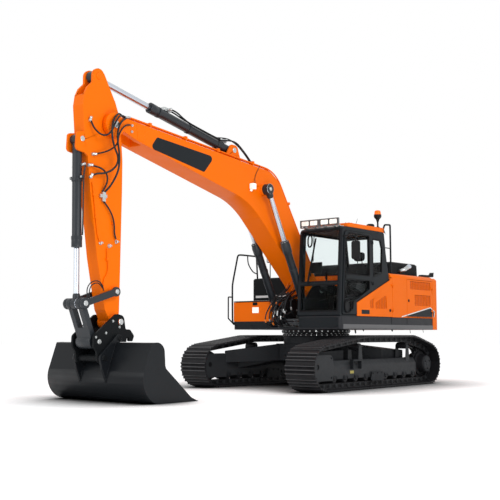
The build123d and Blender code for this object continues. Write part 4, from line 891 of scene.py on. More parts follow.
def right_side_details():
    """Tool box lamp and latch, plates of the lid and the step, and the tank's cap and covers."""
    Piece().front((-0.86, -0.705, 1.375, 1.485, 0.012), 0.8845, 0.893).done("box_lamp", "house", LENS, 0.002)
    latch = Piece().front((-0.85, -0.74, 1.522, 1.578, 0.01), 0.8845, 0.892)
    latch.front((-0.825, -0.765, 1.535, 1.565, 0.008), 0.892, 0.897).done("box_latch", "house", BLACK, 0.001)
    plate = Piece().plan((0.345, 0.87, -1.325, -0.45, 0.03), 1.6075, 1.6115)
    plate.done("lid_plate", "box_lid", PALE, 0.001)
    studs = Piece()
    for row in range(8):
        for column in range(13):
            place = (0.385 + row * 0.064, -1.285 + column * 0.0665, 1.611)
            studs.turned(place, UP, ((0, 0.013), (0.003, 0.012), (0.003, 0.006)), 10)
    studs.done("lid_studs", "box_lid", PALE)
    filler = ((0, 0.075), (0.015, 0.072), (0.015, 0.055), (0.045, 0.05), (0.05, 0.044))
    cap = Piece().turned((-0.28, -0.95, 2.0795), UP, filler, 32)
    cap.plan((-0.06, 0.22, -1.25, -0.55, 0.03), 2.0795, 2.086)
    cap.side((-0.45, 0.22, 1.38, 1.98, 0.03), -1.3445, -1.351)
    cap.front((-1.03, -0.53, 1.79, 2.02, 0.03), 0.2895, 0.296).done("tank_cap", "house", BLACK, 0.002)
    tread = Piece().front((-1.25, -0.5, 1.69, 1.735, 0.006, 2), 0.2895, 0.2975)
    tread.done("step_edge", "house", PALE, 0.001)


RAIL_Y = -1.39
RAIL_FOOT = -1.3453      # just outside the deck's rim and the tank, where the climbing rail ends
ROOF_RAIL_Y = 1.27
CLIMB_RAIL = (
    (0.85, 1.195), (0.853, 1.5), (0.858, 1.88), (0.845, 1.98), (0.715, 2.43), (0.69, 2.53), (0.6, 2.545),
    (0.17, 2.545), (0.095, 2.545), (0.09, 2.46), (0.06, 2.03),
)
# Further rails: name, y, radius, (x, z) points
RAILS = (
    ("rail_brace", RAIL_Y, 0.012, (
        (0.38, 2.53), (0.38, 2.42), (0.33, 2.33), (0.2, 2.21), (0.05, 2.19), (0.063, 2.19),
    )),
    ("tank_rail", -0.6, 0.014, (
        (0.22, 2.085), (0.22, 2.36), (0.2, 2.4), (0.14, 2.42), (-0.3, 2.42), (-0.36, 2.41), (-0.38, 2.36),
        (-0.38, 2.085),
    )),
    ("toe_rail", RAIL_Y, 0.013, (
        (0.855, 1.695), (0.95, 1.695), (0.977, 1.693), (0.977, 1.66), (0.977, 1.32), (0.977, 1.28),
        (0.955, 1.262), (0.87, 1.205), (0.85, 1.195),
    )),
    ("roof_rail", ROOF_RAIL_Y, 0.017, (
        (-0.4055, 2.926), (-0.45, 2.995), (-0.48, 3.045), (-0.55, 3.052), (-0.65, 3.06), (-0.684, 3.06),
        (-0.685, 3.01), (-0.69, 2.6), (-0.69, 2.1253),
    )),
)


def rails():
    """Smooth rails in place of the plain ones, and those of the tank and the roof."""
    climb = [(0.85, RAIL_FOOT, 1.18), (0.85, -1.375, 1.18), *at_side(RAIL_Y, CLIMB_RAIL)]
    climb += [(0.06, -1.375, 1.99), (0.06, RAIL_FOOT, 1.99)]
    first = pipe("climb_rail", "house", climb, 0.017, DARK)
    for name, y, radius, points in RAILS:
        pipe(name, "house", at_side(y, points), radius, DARK)
    stay = Piece().block((-0.69, 1.262, 2.6), (-0.42, 1.278, 2.616))
    stay.block((-0.73, 1.23, 2.125), (-0.65, 1.31, 2.135)).block((0.82, -1.345, 1.15), (0.88, -1.352, 1.21))
    stay.done("rail_brackets", "house", DARK, 0.002, "black_paint")
    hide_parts("handrails")


# Cab

UPPER_PANE = rounded([(1.036, 2.028), (0.998, 2.665), (0.885, 2.772), (0.21, 2.768), (0.205, 2.028)], 0.035)
LOWER_PANE = rounded(
    [(1.06, 1.4), (1.038, 1.945), (0.215, 1.945), (0.215, 1.79), (0.76, 1.545), (0.79, 1.4)], 0.025,
)
REAR_PANE = rounded(
    [(0.062, 2.72), (-0.205, 2.72), (-0.268, 2.575), (-0.242, 2.115), (0.005, 2.035), (0.062, 2.035)], 0.022,
)
HANDLE_Y = 1.365
GRAB = ((0.56, 2.56), (0.56, 2.72), (0.6, 2.76), (0.65, 2.74), (0.65, 2.6), (0.61, 2.54))
HANDLE = (
    (0.86, 1.47), (0.87, 1.555), (0.96, 1.58), (1.06, 1.545), (1.07, 1.46), (1.055, 1.37), (0.96, 1.345),
    (0.87, 1.38),
)


def side_seal(name, body, outline, y):
    """A rubber lip along the edge of a side window."""
    middle = Vector((sum(x for x, z in outline), sum(z for x, z in outline))) / len(outline)
    rings = []
    for grow, height in ((0.014, y - 0.002), (0.014, y + 0.003), (-0.012, y + 0.003), (-0.012, y - 0.03)):
        points = [Vector(point) + (Vector(point) - middle).normalized() * grow for point in outline]
        rings.append(at_side(height, points))
    Piece().skin(rings, closed=True).done(name, body, SEAL)


def cab_outside():
    """Seals, handles and wiper of the cab."""
    foot, head = Vector((1.19, 1.29)), Vector((1.082, 2.88))
    up = (head - foot).normalized()
    out = Vector((up.y, -up.x))

    def on_front(*places):
        """The (x, z) points at a distance up the cab's front edge, and proud of it."""
        return [tuple(foot + up * distance + out * proud) for distance, proud in places]

    seal = Piece()
    y0, y1 = 0.475, 1.28
    for low, high in ((0.09, 0.56), (0.61, 1.53)):
        bars = (
            (low - 0.012, low + 0.016, y0, y1), (high - 0.016, high + 0.012, y0, y1),
            (low, high, y0 - 0.012, y0 + 0.016), (low, high, y1 - 0.016, y1 + 0.012),
        )
        for a, b, c, d in bars:
            seal.side(on_front((a, -0.01), (b, -0.01), (b, 0.003), (a, 0.003)), c, d)
    seal.done("windscreen_seals", "house", SEAL, 0.002)
    arm_points = ((0.62, 0.6), (0.66, 0.6), (0.8, 1.4), (0.77, 1.4))
    rings = []
    for proud in (0.01, 0.02):
        rings.append([(x, y, z) for y, distance in arm_points for x, z in on_front((distance, proud))])
    x, z = on_front((0.6, 0.0))[0]
    wiper = Piece().skin(rings)
    wiper.turned((x, 0.64, z), (out.x, 0, out.y), ((0, 0.028), (0.022, 0.026), (0.026, 0.018)), 20)
    wiper.side(on_front((0.98, 0.006), (1.5, 0.006), (1.5, 0.018), (0.98, 0.018)), 0.735, 0.747)
    wiper.done("wiper", "house", BLACK, 0.002, "plastic")
    pipe("inner_grab", "house", [(1.035, y, z) for y, z in GRAB], 0.014, SEAL, closed=True)
    pipe("door_handle", "cab_entry", at_side(HANDLE_Y, HANDLE), 0.011, SEAL, closed=True)
    rest = Piece().side((0.895, 1.035, 1.39, 1.54, 0.05), CAB_FACE - 0.001, CAB_FACE + 0.006)
    for x in (0.865, 1.065):
        rest.rod((x, CAB_FACE - 0.001, 1.46), (x, HANDLE_Y, 1.46), 0.008, 12)
    rest.done("door_handle_plate", "cab_entry", PLASTIC, 0.002)
    catch = Piece().side((0.985, 1.035, 1.96, 2.01, 0.01), CAB_FACE - 0.001, CAB_FACE + 0.012)
    catch.done("door_catch", "cab_entry", BLACK, 0.003, "plastic")
    side_seal("upper_pane_seal", "cab_entry", UPPER_PANE, CAB_FACE)
    side_seal("lower_pane_seal", "cab_entry", LOWER_PANE, CAB_FACE)
    side_seal("rear_pane_seal", "house", REAR_PANE, 1.335)


BEACON_X, BEACON_Y = -0.28, 1.24
RIGHT_MIRROR_FOOT = (-0.118, -1.205, 2.0795)


def roof_details():
    """Lamp lenses and brackets, antennas, beacon dome and the mirrors."""
    lens, rims, stays, masts = Piece(), Piece(), Piece(), Piece()
    for y0 in (0.44, 0.86):
        for y in (y0 + 0.024, y0 + 0.2115):
            lens.front((y + 0.01, y + 0.164, 2.927, 3.007, 0.014), 1.1095, 1.1125)
            rims.front((y + 0.084, y + 0.09, 2.927, 3.007, 0.002, 1), 1.1125, 1.114)
    lens.done("bar_lenses", "house", LENS, 0.001)
    rims.done("bar_lens_ribs", "house", PALE, slot="lamp")
    for y in (0.51, 0.72, 0.93, 1.14, 1.24):
        stays.rod((1.095, y, 2.9), (0.985, y, 2.884), 0.011, 12)
    for x, z in ((1.095, 2.893), (0.995, 2.887)):
        stays.rod((x, 0.45, z), (x, 1.3, z), 0.009, 12)
    stays.bolts([(0.97, y, 2.8795) for y in (0.6, 0.83, 1.04, 1.19)], UP, 0.012)
    stays.done("bar_stays", "house", ZINC, slot="lamp")
    for x, z, tip_x, tip_z, radius in ((0.9, 2.88, 0.765, 2.975, 0.006), (0.43, 2.965, 0.365, 3.086, 0.004)):
        way = Vector((tip_x - x, 0, tip_z - z))
        mast = ((0, radius * 2.2), (0.02, radius * 2.0), (0.022, radius), (way.length, radius * 0.6))
        masts.turned((x, 1.2, z), way, mast, 12)
    masts.turned((-0.13, 1.17, 2.9655), UP, ((0, 0.07), (0.03, 0.078), (0.058, 0.07), (0.07, 0.045)), 28)
    masts.turned((BEACON_X, BEACON_Y, 2.965), UP, ((0, 0.045), (0.012, 0.042), (0.03, 0.02)), 20)
    masts.done("roof_fittings", "house", PLASTIC, 0.002)
    knob = Piece().turned((0.565, 1.2, 2.955), UP, ((0, 0.022), (0.022, 0.02), (0.034, 0.01)), 20)
    knob.done("roof_knob", "house", ORANGE)
    dome = ((0, 0.064), (0.01, 0.0625), (0.058, 0.058), (0.074, 0.048), (0.082, 0.026), (0.084, 0.004))
    Piece().turned((BEACON_X, BEACON_Y, 3.222), UP, dome, 32).done("beacon_dome", "house", AMBER)
    collar = ((0, 0.02), (0.045, 0.034), (0.085, 0.066), (0.098, 0.072), (0.137, 0.07), (0.137, 0.05))
    Piece().turned((BEACON_X, BEACON_Y, 3.085), UP, collar, 32).done("beacon_collar", "house", PLASTIC)
    left = Piece().front((1.535, 1.705, 2.27, 2.59, 0.035), 1.085, 1.115)
    left.front((1.552, 1.688, 2.29, 2.57, 0.025), 1.1145, 1.124)
    left.turned((1.104, 1.62, 2.585), UP, ((0, 0.016), (0.035, 0.014)), 14)
    mirror = left.done("mirror_left", "house", PLASTIC, 0.006)
    x, y, z = RIGHT_MIRROR_FOOT
    right = Piece().front((-1.285, -1.125, 2.42, 2.64, 0.03), -0.13, -0.1)
    right.rod((x, y, z), (x, y, 2.44), 0.01, 12)
    right.turned((x, y, z), UP, ((0, 0.03), (0.008, 0.03), (0.008, 0.016), (0.03, 0.014)), 16)
    right.done("mirror_right", "house", PLASTIC, 0.006)
    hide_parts("mirrors")
    pane = (-1.272, -1.138, 2.433, 2.627, 0.02)
    Piece().front(pane, -0.1005, -0.094).done("mirror_back", "house", PALE, 0.002, "plastic")
    glass = Piece().front((1.548, 1.692, 2.283, 2.577, 0.02), 1.0805, 1.0855).front(pane, -0.1345, -0.1295)
    glass.done("mirror_glasses", "house", MIRROR, 0.001)
    stay = (
        (1.06, 1.34, 2.7), (1.075, 1.4, 2.7), (1.095, 1.5, 2.695), (1.104, 1.6, 2.685), (1.104, 1.62, 2.66),
        (1.104, 1.62, 2.6),
    )
    pipe("mirror_arm", "house", stay, 0.011, PLASTIC)


CUSHION_CUTS = 22
CUSHION_POWER = 3.2      # 2 would be an ellipsoid, more is squarer


def pillow(name, middle, size, lean, body, channels=()):
    """A crowned cushion: a rounded block that pulls in between its corners, with sewn channels across it.

    size holds the half lengths along x, y and z, lean the turn about y, and channels the shares of the
    length along x at which its upper side is sewn down.
    """
    grid = bmesh.new()
    bmesh.ops.create_cube(grid, size=2.0)
    bmesh.ops.subdivide_edges(grid, edges=grid.edges[:], cuts=CUSHION_CUTS, use_grid_fill=True)
    turn = math.radians(lean)
    for vertex in grid.verts:
        u, v, w = vertex.co
        length = sum(abs(value) ** CUSHION_POWER for value in (u, v, w)) ** (1 / CUSHION_POWER)
        u, v, w = u / length, v / length, w / length
        pull = 1 - 0.045 * (1 - u * u) * abs(v) ** 3 - 0.045 * (1 - v * v) * abs(u) ** 3
        u, v = u * pull, v * pull
        if w > 0:
            for share in channels:
                w *= 1 - 0.3 * math.exp(-(((u - share) / 0.045) ** 2))
        x, y, z = u * size[0], v * size[1], w * size[2]
        vertex.co = (
            middle[0] + x * math.cos(turn) - z * math.sin(turn), middle[1] + y,
            middle[2] + x * math.sin(turn) + z * math.cos(turn),
        )
    mesh = bpy.data.meshes.new(name)
    grid.to_mesh(mesh)
    grid.free()
    piece = settle(bpy.data.objects.new(name, mesh), body, CLOTH)
    return piece


SEAT_Y = 0.8775


def interior():
    """Seat, controls, display and trim behind the glass."""
    cushion = pillow("seat_cushion", (0.205, SEAT_Y, 1.635), (0.262, 0.247, 0.066), 2, "house", (-0.35, 0.35))
    pillow("seat_back", (-0.105, SEAT_Y, 1.995), (0.335, 0.236, 0.064), 105, "house", (-0.45, 0.0, 0.45))
    pillow("head_rest", (-0.193, SEAT_Y, 2.435), (0.09, 0.117, 0.046), 97, "house")
    base = Piece().block((0.02, SEAT_Y - 0.17, 1.3305), (0.36, SEAT_Y + 0.17, 1.39))
    for number in range(5):
        z = 1.39 + number * 0.036
        fold = (number % 2) * 0.012
        base.block((0.04 + fold, SEAT_Y - 0.15, z), (0.34 - fold, SEAT_Y + 0.15, z + 0.036))
    for y in (SEAT_Y - 0.05, SEAT_Y + 0.05):
        base.rod((-0.215, y, 2.3), (-0.195, y, 2.38), 0.007, 10)
    base.done("seat_base", "house", PLASTIC, 0.006)
    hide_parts("seat")
    sticks = Piece()
    for y in (0.548, 1.21):
        boot = ((0, 0.04), (0.02, 0.036), (0.05, 0.02), (0.1, 0.016))
        sticks.turned((0.42, y, 1.888), (0.12, 0, 1), boot, 20)
        grip = ((0, 0.016), (0.03, 0.024), (0.09, 0.021), (0.12, 0.026), (0.15, 0.022), (0.158, 0.01))
        sticks.turned((0.432, y, 1.985), (0.12, 0, 1), grip, 20)
    for y in (0.8, 0.955):
        sticks.rod((0.83, y, 1.335), (0.8, y, 1.8), 0.009, 12)
        knob = ((0, 0.012), (0.02, 0.019), (0.1, 0.019), (0.12, 0.01))
        sticks.turned((0.8, y, 1.8), (-0.06, 0, 1), knob, 16)
        sticks.side([(0.8, 1.335), (0.95, 1.4), (0.955, 1.385), (0.8, 1.32)], y - 0.04, y + 0.04)
    sticks.done("levers", "house", SEAL, 0.001)
    screen = Piece().block((0.86, 0.495, 2.02), (0.885, 0.505, 2.1))
    screen.side([(0.83, 2.08), (0.87, 2.08), (0.85, 2.28), (0.81, 2.28)], 0.5, 0.72)
    screen.rod((0.87, 0.47, 2.05), (0.85, 0.52, 2.12), 0.012, 12).done("display", "house", PLASTIC, 0.004)
    trim = Piece().block((-0.46, 0.475, 1.332), (-0.16, 1.285, 1.9))
    trim.block((0.6, 0.462, 1.332), (1.1, 0.5, 1.62)).block((-0.1, 0.475, 1.33), (1.08, 1.285, 1.336))
    trim.done("cab_trim", "house", PLASTIC, 0.01)
    # The buckle's faint glow is painted light.
    buckle = [(0.03, 1.7), (0.05, 1.7), (0.16, 1.56), (0.14, 1.55)]
    Piece().side(buckle, SEAT_Y + 0.252, SEAT_Y + 0.262).done("belt_buckle", "house", RED_GLOW, 0.002)
    Piece().block((-0.3, 0.47, 2.815), (1.0, 1.29, 2.838)).done("roof_lining", "house", PLASTIC, 0.004)


# Working gear

# Pivot pins, as (x, z)
BOOM_FOOT, ARM_PIN, BUCKET_PIN = (0.22, 1.8), (5.44, 4.06), (5.32, 1.15)
LIFT_FOOT, LIFT_EYE, LIFT_Y = (0.7, 1.22), (1.93, 3.52), 0.336
ARM_CYLINDER_FOOT, ARM_CYLINDER_EYE = (2.6, 4.14), (5.69, 4.755)
BUCKET_CYLINDER_FOOT, LINK_PIN, GUIDE_PIN = (5.985, 3.77), (5.945, 1.405), (5.355, 1.59)
COUPLER_LINK_PIN, FRONT_HOOK_PIN, REAR_HOOK_PIN = (5.724, 0.864), (5.375, 0.915), (5.67, 0.63)

# Pin ends: body, pin, y, cap radius, finish
PIN_ENDS = (
    ("house", BOOM_FOOT, 0.285, 0.055, ZINC), ("house", LIFT_FOOT, 0.41, 0.048, ZINC),
    ("boom", ARM_PIN, 0.235, 0.055, ZINC), ("boom", LIFT_EYE, 0.3955, 0.034, ZINC),
    ("boom", ARM_CYLINDER_FOOT, 0.124, 0.046, ZINC), ("arm", BUCKET_CYLINDER_FOOT, 0.118, 0.04, ZINC),
    ("arm", GUIDE_PIN, 0.208, 0.036, ZINC), ("arm", BUCKET_PIN, 0.256, 0.044, ZINC),
    ("arm", ARM_CYLINDER_EYE, 0.1155, 0.052, ORANGE), ("guides", LINK_PIN, 0.204, 0.04, ZINC),
    ("bucket", COUPLER_LINK_PIN, 0.25, 0.036, ZINC), ("bucket", FRONT_HOOK_PIN, 0.308, 0.04, BLACK),
    ("bucket", REAR_HOOK_PIN, 0.31, 0.04, BLACK),
)


def pin_ends():
    """The caps on both ends of each pivot pin."""
    caps = {}
    for body, (x, z), y, r, material in PIN_ENDS:
        piece = caps.setdefault((body, material.name), (Piece(), material))[0]
        cap = ((-0.004, r), (0.006, r), (0.01, r * 0.86), (0.01, r * 0.3), (0.013, r * 0.26))
        for hand in BOTH_HANDS:
            piece.turned((x, hand * y, z), (0, hand, 0), cap, 28)
    for (body, tone), (piece, material) in caps.items():
        piece.done(f"pin_ends_{body}_{tone}", body, material, 0.001, "dark_paint")


BOOM_SIDE = 0.215        # outer face of the boom's side
PLATE = rounded([(4.576, 4.018), (3.233, 3.911), (3.48, 3.623), (4.722, 3.825)], 0.055, 5)
NOSE_PLATE = rounded([(5.02, 4.145), (4.86, 4.13), (4.84, 3.885), (4.99, 3.915)], 0.02)
PIPE_LINE = (
    (0.42, 2.3), (0.7, 2.7), (1.157, 3.379), (1.509, 3.913), (2.149, 3.967), (3.0, 4.042), (4.2, 4.148),
    (4.95, 4.214), (5.13, 4.228),
)
PIPE_YS = (-0.18, -0.135, 0.135, 0.18)
# Pipe clamps: place (x, z) and the direction of the boom's back there
CLAMPS = (
    ((0.72, 2.7), (0.555, 0.832)), ((1.157, 3.34), (0.555, 0.832)), ((2.169, 3.93), (0.996, 0.088)),
    ((3.1, 4.01), (0.996, 0.088)), ((3.895, 4.08), (0.996, 0.088)), ((4.7, 4.15), (0.996, 0.088)),
)
LAMP_LEAD = (
    (2.235, 0.262, 3.585), (2.19, 0.262, 3.62), (2.17, 0.222, 3.68), (2.12, 0.222, 3.8), (2.04, 0.222, 3.9),
    (1.98, 0.19, 3.955),
)


def boom_details():
    """Plates, pipes, clamps, fittings and lamp lenses of the boom."""
    for side, hand in SIDES:
        Piece().side(PLATE, hand * BOOM_SIDE, hand * 0.2175).done(f"boom_plate_{side}", "boom", DARK)
    for number, y in enumerate(PIPE_YS):
        pipe(f"boom_pipe_{number + 1}", "boom", at_side(y, PIPE_LINE), 0.0125, ORANGE)
    clamps, bolts, ends, lamps, welds = Piece(), Piece(), Piece(), Piece(), Piece()
    for (x, z), (ux, uz) in CLAMPS:
        along = Vector((ux, 0, uz)) * 0.044
        out = Vector((-uz, 0, ux))
        for hand in BOTH_HANDS:
            start = Vector((x, hand * 0.112, z)) - along * 0.5 + out * 0.012
            corners = [start, start + along, start + along + out * 0.062, start + out * 0.062]
            clamps.prism(corners, (0, hand * 0.09, 0))
            bolts.bolt(Vector((x, hand * 0.1575, z)) + out * 0.074, out, 0.01)
    clamps.done("pipe_clamps", "boom", ORANGE, 0.004)
    bolts.done("pipe_clamp_bolts", "boom", ZINC)
    for y in PIPE_YS:
        ends.fitting((5.125, y, 4.228), (1, 0.15 * y, -0.12), 0.015, 0.1)
    for x, z in ((5.12, 4.1), (5.125, 4.005)):
        stub = ((0, 0.022), (0.02, 0.02), (0.02, 0.012), (0.035, 0.011))
        ends.turned((x, 0.2145, z), (0, 1, 0), stub, 12)
    ends.done("nose_fittings", "boom", ZINC)
    for y in (0.237, -0.305):
        lamps.front((y, y + 0.068, 3.494, 3.582, 0.014), 2.3195, 2.323)
    lamps.done("boom_lamp_lenses", "boom", LENS, 0.001)
    pipe("lamp_lead", "boom", LAMP_LEAD, 0.005, RUBBER)
    for hand in BOTH_HANDS:
        welds.side(NOSE_PLATE, hand * 0.2145, hand * 0.219)
    welds.done("nose_plates", "boom", ORANGE, 0.003)


class Axis:
    """A cylinder's axis, from its foot pin to its eye pin in one plane of y."""

    def __init__(self, foot, eye, y=0.0):
        self.foot = Vector((foot[0], y, foot[1]))
        self.way = (Vector((eye[0], y, eye[1])) - self.foot).normalized()
        self.above = Vector((-self.way.z, 0, self.way.x))

    def at(self, distance, rise=0.0, aside=0.0):
        """The place at a distance along the axis, above it and to the left of it."""
        return self.foot + self.way * distance + self.above * rise + Vector((0, aside, 0))

    def line(self, rows):
        return [tuple(self.at(*row)) for row in rows]


def bands(axis, distances, inner, outer, width):
    """Clamp rings on a cylinder's barrel."""
    piece = Piece()
    section = ((0, inner), (0, outer), (width, outer), (width, inner))
    for distance in distances:
        piece.turned(axis.at(distance), axis.way, section, 32)
    return piece


ARM_PIPE = ((1.56, 0.125), (1.42, 0.13), (1.3, 0.112), (1.1, 0.105), (0.5, 0.105), (0.36, 0.112))
ARM_PIPE_ASIDE = (
    (1.58, 0.11, 0.09), (1.5, 0.11, 0.115), (1.3, 0.06, 0.11), (1.1, 0.045, 0.1), (0.5, 0.045, 0.1),
    (0.36, 0.05, 0.105),
)
BUCKET_PIPE = (
    (5.945, 0.12, 3.41), (5.935, 0.14, 3.38), (5.93, 0.1, 3.3), (5.93, 0.088, 3.2), (5.925, 0.088, 2.45),
    (5.925, 0.08, 2.38),
)
LIFT_PIPE = ((1.49, -0.07), (1.46, -0.094), (1.38, -0.096), (0.6, -0.096), (0.42, -0.096), (0.38, -0.07))


def cylinder_details():
    """Clamp rings, ports and pipes of the cylinders."""
    axis = Axis(ARM_CYLINDER_FOOT, ARM_CYLINDER_EYE)
    rings = bands(axis, (0.32, 1.05, 1.76), 0.08, 0.0865, 0.045)
    rings.done("arm_cylinder_bands", "arm_barrel", CYLINDER, 0.002)
    ports = Piece()
    for near in (1.6, 0.2):
        corners = ((near, 0.074), (near + 0.1, 0.074), (near + 0.1, 0.129), (near, 0.129))
        ports.prism([axis.at(distance, rise, -0.045) for distance, rise in corners], (0, 0.09, 0))
        ports.fitting(axis.at(near + 0.02, 0.104, 0.045), (-0.4, 0.9, 0.1), 0.018, 0.07)
        ports.fitting(axis.at(near, 0.104), axis.above * 0.25 - axis.way, 0.018, 0.09)
    ports.done("arm_cylinder_ports", "arm_barrel", ZINC, 0.002)
    pipe("arm_cylinder_pipe", "arm_barrel", axis.line(ARM_PIPE), 0.013, BLACK)
    pipe("arm_cylinder_pipe_2", "arm_barrel", axis.line(ARM_PIPE_ASIDE), 0.013, BLACK)
    rings = bands(Axis(BUCKET_CYLINDER_FOOT, LINK_PIN), (0.56, 1.4), 0.072, 0.08, 0.05)
    for y in (-0.135, 0.075):
        rings.block((5.958, y, 3.195), (6.0, y + 0.06, 3.235))
    rings.done("bucket_cylinder_bands", "bucket_barrel", CYLINDER, 0.002)
    knobs = Piece().bolts([(6.0, y, 3.215) for y in (-0.12, 0.12)], (1, 0, 0), 0.013)
    for hand, z in ((-1, 3.38), (1, 3.4)):
        knobs.fitting((5.95, hand * 0.066, z), (-0.1, hand, 0.1), 0.016, 0.07)
    knobs.done("bucket_cylinder_ports", "bucket_barrel", ZINC)
    pipe("bucket_cylinder_pipe", "bucket_barrel", BUCKET_PIPE, 0.011, CYLINDER)
    for side, hand in SIDES:
        axis = Axis(LIFT_FOOT, LIFT_EYE, hand * LIFT_Y)
        rings = bands(axis, (0.35, 1.02), 0.072, 0.0775, 0.04)
        rings.turned(axis.at(1.36), axis.way, ((0, 0.07), (0.03, 0.084), (0.16, 0.086), (0.2, 0.078)), 32)
        rings.done(f"boom_cylinder_bands_{side}", f"boom_barrel_{side}", CYLINDER, 0.001)
        places = [axis.at(1.5995, -u, v) for u, v in circle(8, 0.064)]
        bolts = Piece().bolts(places, axis.way, 0.008)
        bolts.done(f"boom_cylinder_bolts_{side}", f"boom_barrel_{side}", ZINC)
        pipe(f"boom_cylinder_pipe_{side}", f"boom_barrel_{side}", axis.line(LIFT_PIPE), 0.011, CYLINDER)


# Rod eyes: body, eye pin, foot pin, y, eye radius, half width, rod radius
ROD_EYES = (
    ("arm_rod", ARM_CYLINDER_EYE, ARM_CYLINDER_FOOT, 0.0, 0.0965, 0.061, 0.052),
    ("boom_rod_left", LIFT_EYE, LIFT_FOOT, LIFT_Y, 0.0965, 0.059, 0.047),
    ("boom_rod_right", LIFT_EYE, LIFT_FOOT, -LIFT_Y, 0.0965, 0.059, 0.047),
    ("bucket_rod", LINK_PIN, BUCKET_CYLINDER_FOOT, 0.0, 0.0795, 0.056, 0.042),
)


def rod_eyes():
    """Dark eyes and wiper rings round the bright rods."""
    for body, eye, foot, y, r, half, rod in ROD_EYES:
        axis = Axis(eye, foot, y)
        width = half * 2
        rim = ((0, r - 0.03), (0, r - 0.006), (0.006, r))
        rim += tuple((width - along, radius) for along, radius in reversed(rim))
        piece = Piece().turned((eye[0], y - half, eye[1]), (0, 1, 0), rim, 36)
        ring = ((0, rod + 0.016), (0.075, rod + 0.012), (0.095, rod + 0.001))
        piece.turned(axis.at(r - 0.03), axis.way, ring, 32)
        piece.done(f"{body}_eye", body, CYLINDER, slot="rod_chrome")


ARM_SIDE = 0.1145        # just inside the outer face of the arm's side
ARM_PIPE_LINE = ((5.8, 3.16), (5.785, 3.1), (5.745, 2.86), (5.7, 2.5), (5.66, 2.34), (5.625, 2.3))
LOW_PIPE = (
    (5.5, 0.13, 2.22), (5.495, 0.13, 2.12), (5.47, 0.13, 1.98), (5.475, 0.13, 1.86), (5.53, 0.13, 1.79),
    (5.555, 0.13, 1.73), (5.55, 0.127, 1.66),
)


def arm_details():
    """Fittings, blocks and pipes on the arm's side."""
    ends, clips, plate = Piece(), Piece(), Piece()
    stub = ((0, 0.03), (0.012, 0.03), (0.012, 0.022), (0.04, 0.022), (0.045, 0.014), (0.06, 0.013))
    for x, z in ((5.62, 2.29), (5.45, 2.26), (5.31, 2.33)):
        ends.turned((x, ARM_SIDE, z), (0, 1, 0), stub, 14)
    stubs = ((5.86, 4.06, 0.1, 1), (5.83, 3.23, -0.2, 1), (5.8, 3.57, -1, 0.1), (5.87, 3.4, -1, 0.1))
    for x, z, ux, uz in stubs:
        ends.fitting((x, 0.135, z), (ux * 0.5, 0.3, uz * 0.5), 0.016, 0.06)
        ends.turned((x, ARM_SIDE, z), (0, 1, 0), ((0, 0.024), (0.03, 0.022)), 10)
    ends.block((5.53, ARM_SIDE, 2.955), (5.66, 0.155, 3.005)).block((5.56, ARM_SIDE, 2.9), (5.62, 0.16, 3.04))
    ends.done("arm_fittings", "arm", ZINC, 0.002)
    for side, hand in SIDES:
        pipe(f"arm_pipe_{side}", "arm", at_side(hand * 0.13, ARM_PIPE_LINE), 0.011, ORANGE)
    pipe("arm_pipe_low", "arm", LOW_PIPE, 0.009, ORANGE)
    for x, z in ((5.765, 2.98), (5.72, 2.66), (5.39, 2.6), (5.49, 2.06)):
        clips.side((x - 0.022, x + 0.022, z - 0.016, z + 0.016, 0.006, 2), ARM_SIDE, 0.147)
    clips.done("arm_clips", "arm", ORANGE, 0.002)
    x, z = ARM_PIN
    for hand in BOTH_HANDS:
        plate.turned((x, hand * 0.1185, z), (0, hand, 0), ((-0.003, 0.155), (0.003, 0.152)), 40)
    plate.done("arm_boss_rings", "arm", ORANGE)


def coupler_details():
    """Small bolts, locking cylinder and rear tube of the coupler, and the bucket's edge."""
    bolts = Piece()
    for x, z in ((5.345, 1.075), (5.79, 0.93), (5.6, 0.99), (5.47, 1.16)):
        for hand in BOTH_HANDS:
            bolts.bolt((x, hand * 0.25, z), (0, hand, 0), 0.014)
    bolts.done("coupler_bolts", "bucket", ZINC)
    barrel = ((0, 0.034), (0.02, 0.038), (0.13, 0.038), (0.15, 0.028), (0.16, 0.018))
    lock = Piece().turned((5.31, 0, 0.96), (1, 0, -0.06), barrel, 24)
    for y in (-0.172, 0.148):
        lock.block((5.3, y, 0.92), (5.4, y + 0.024, 0.98))
    lock.done("lock_cylinder", "bucket", BLACK, 0.003)
    edge = Piece().side([(4.492, 0.0005), (4.6, 0.0005), (4.6, 0.03), (4.5, 0.006)], -1.03, 1.03)
    edge.done("cutting_edge", "bucket", WORN)
    x, z = REAR_HOOK_PIN
    tube = Piece().rod((x, -0.255, z), (x, 0.255, z), 0.052, 28)
    for y in (-0.255, 0.205):
        tube.turned((x, y, z), (0, 1, 0), ((0, 0.062), (0, 0.078), (0.05, 0.078), (0.05, 0.062)), 28)
    tube.done("rear_pin_tube", "bucket", BLACK, 0.002)


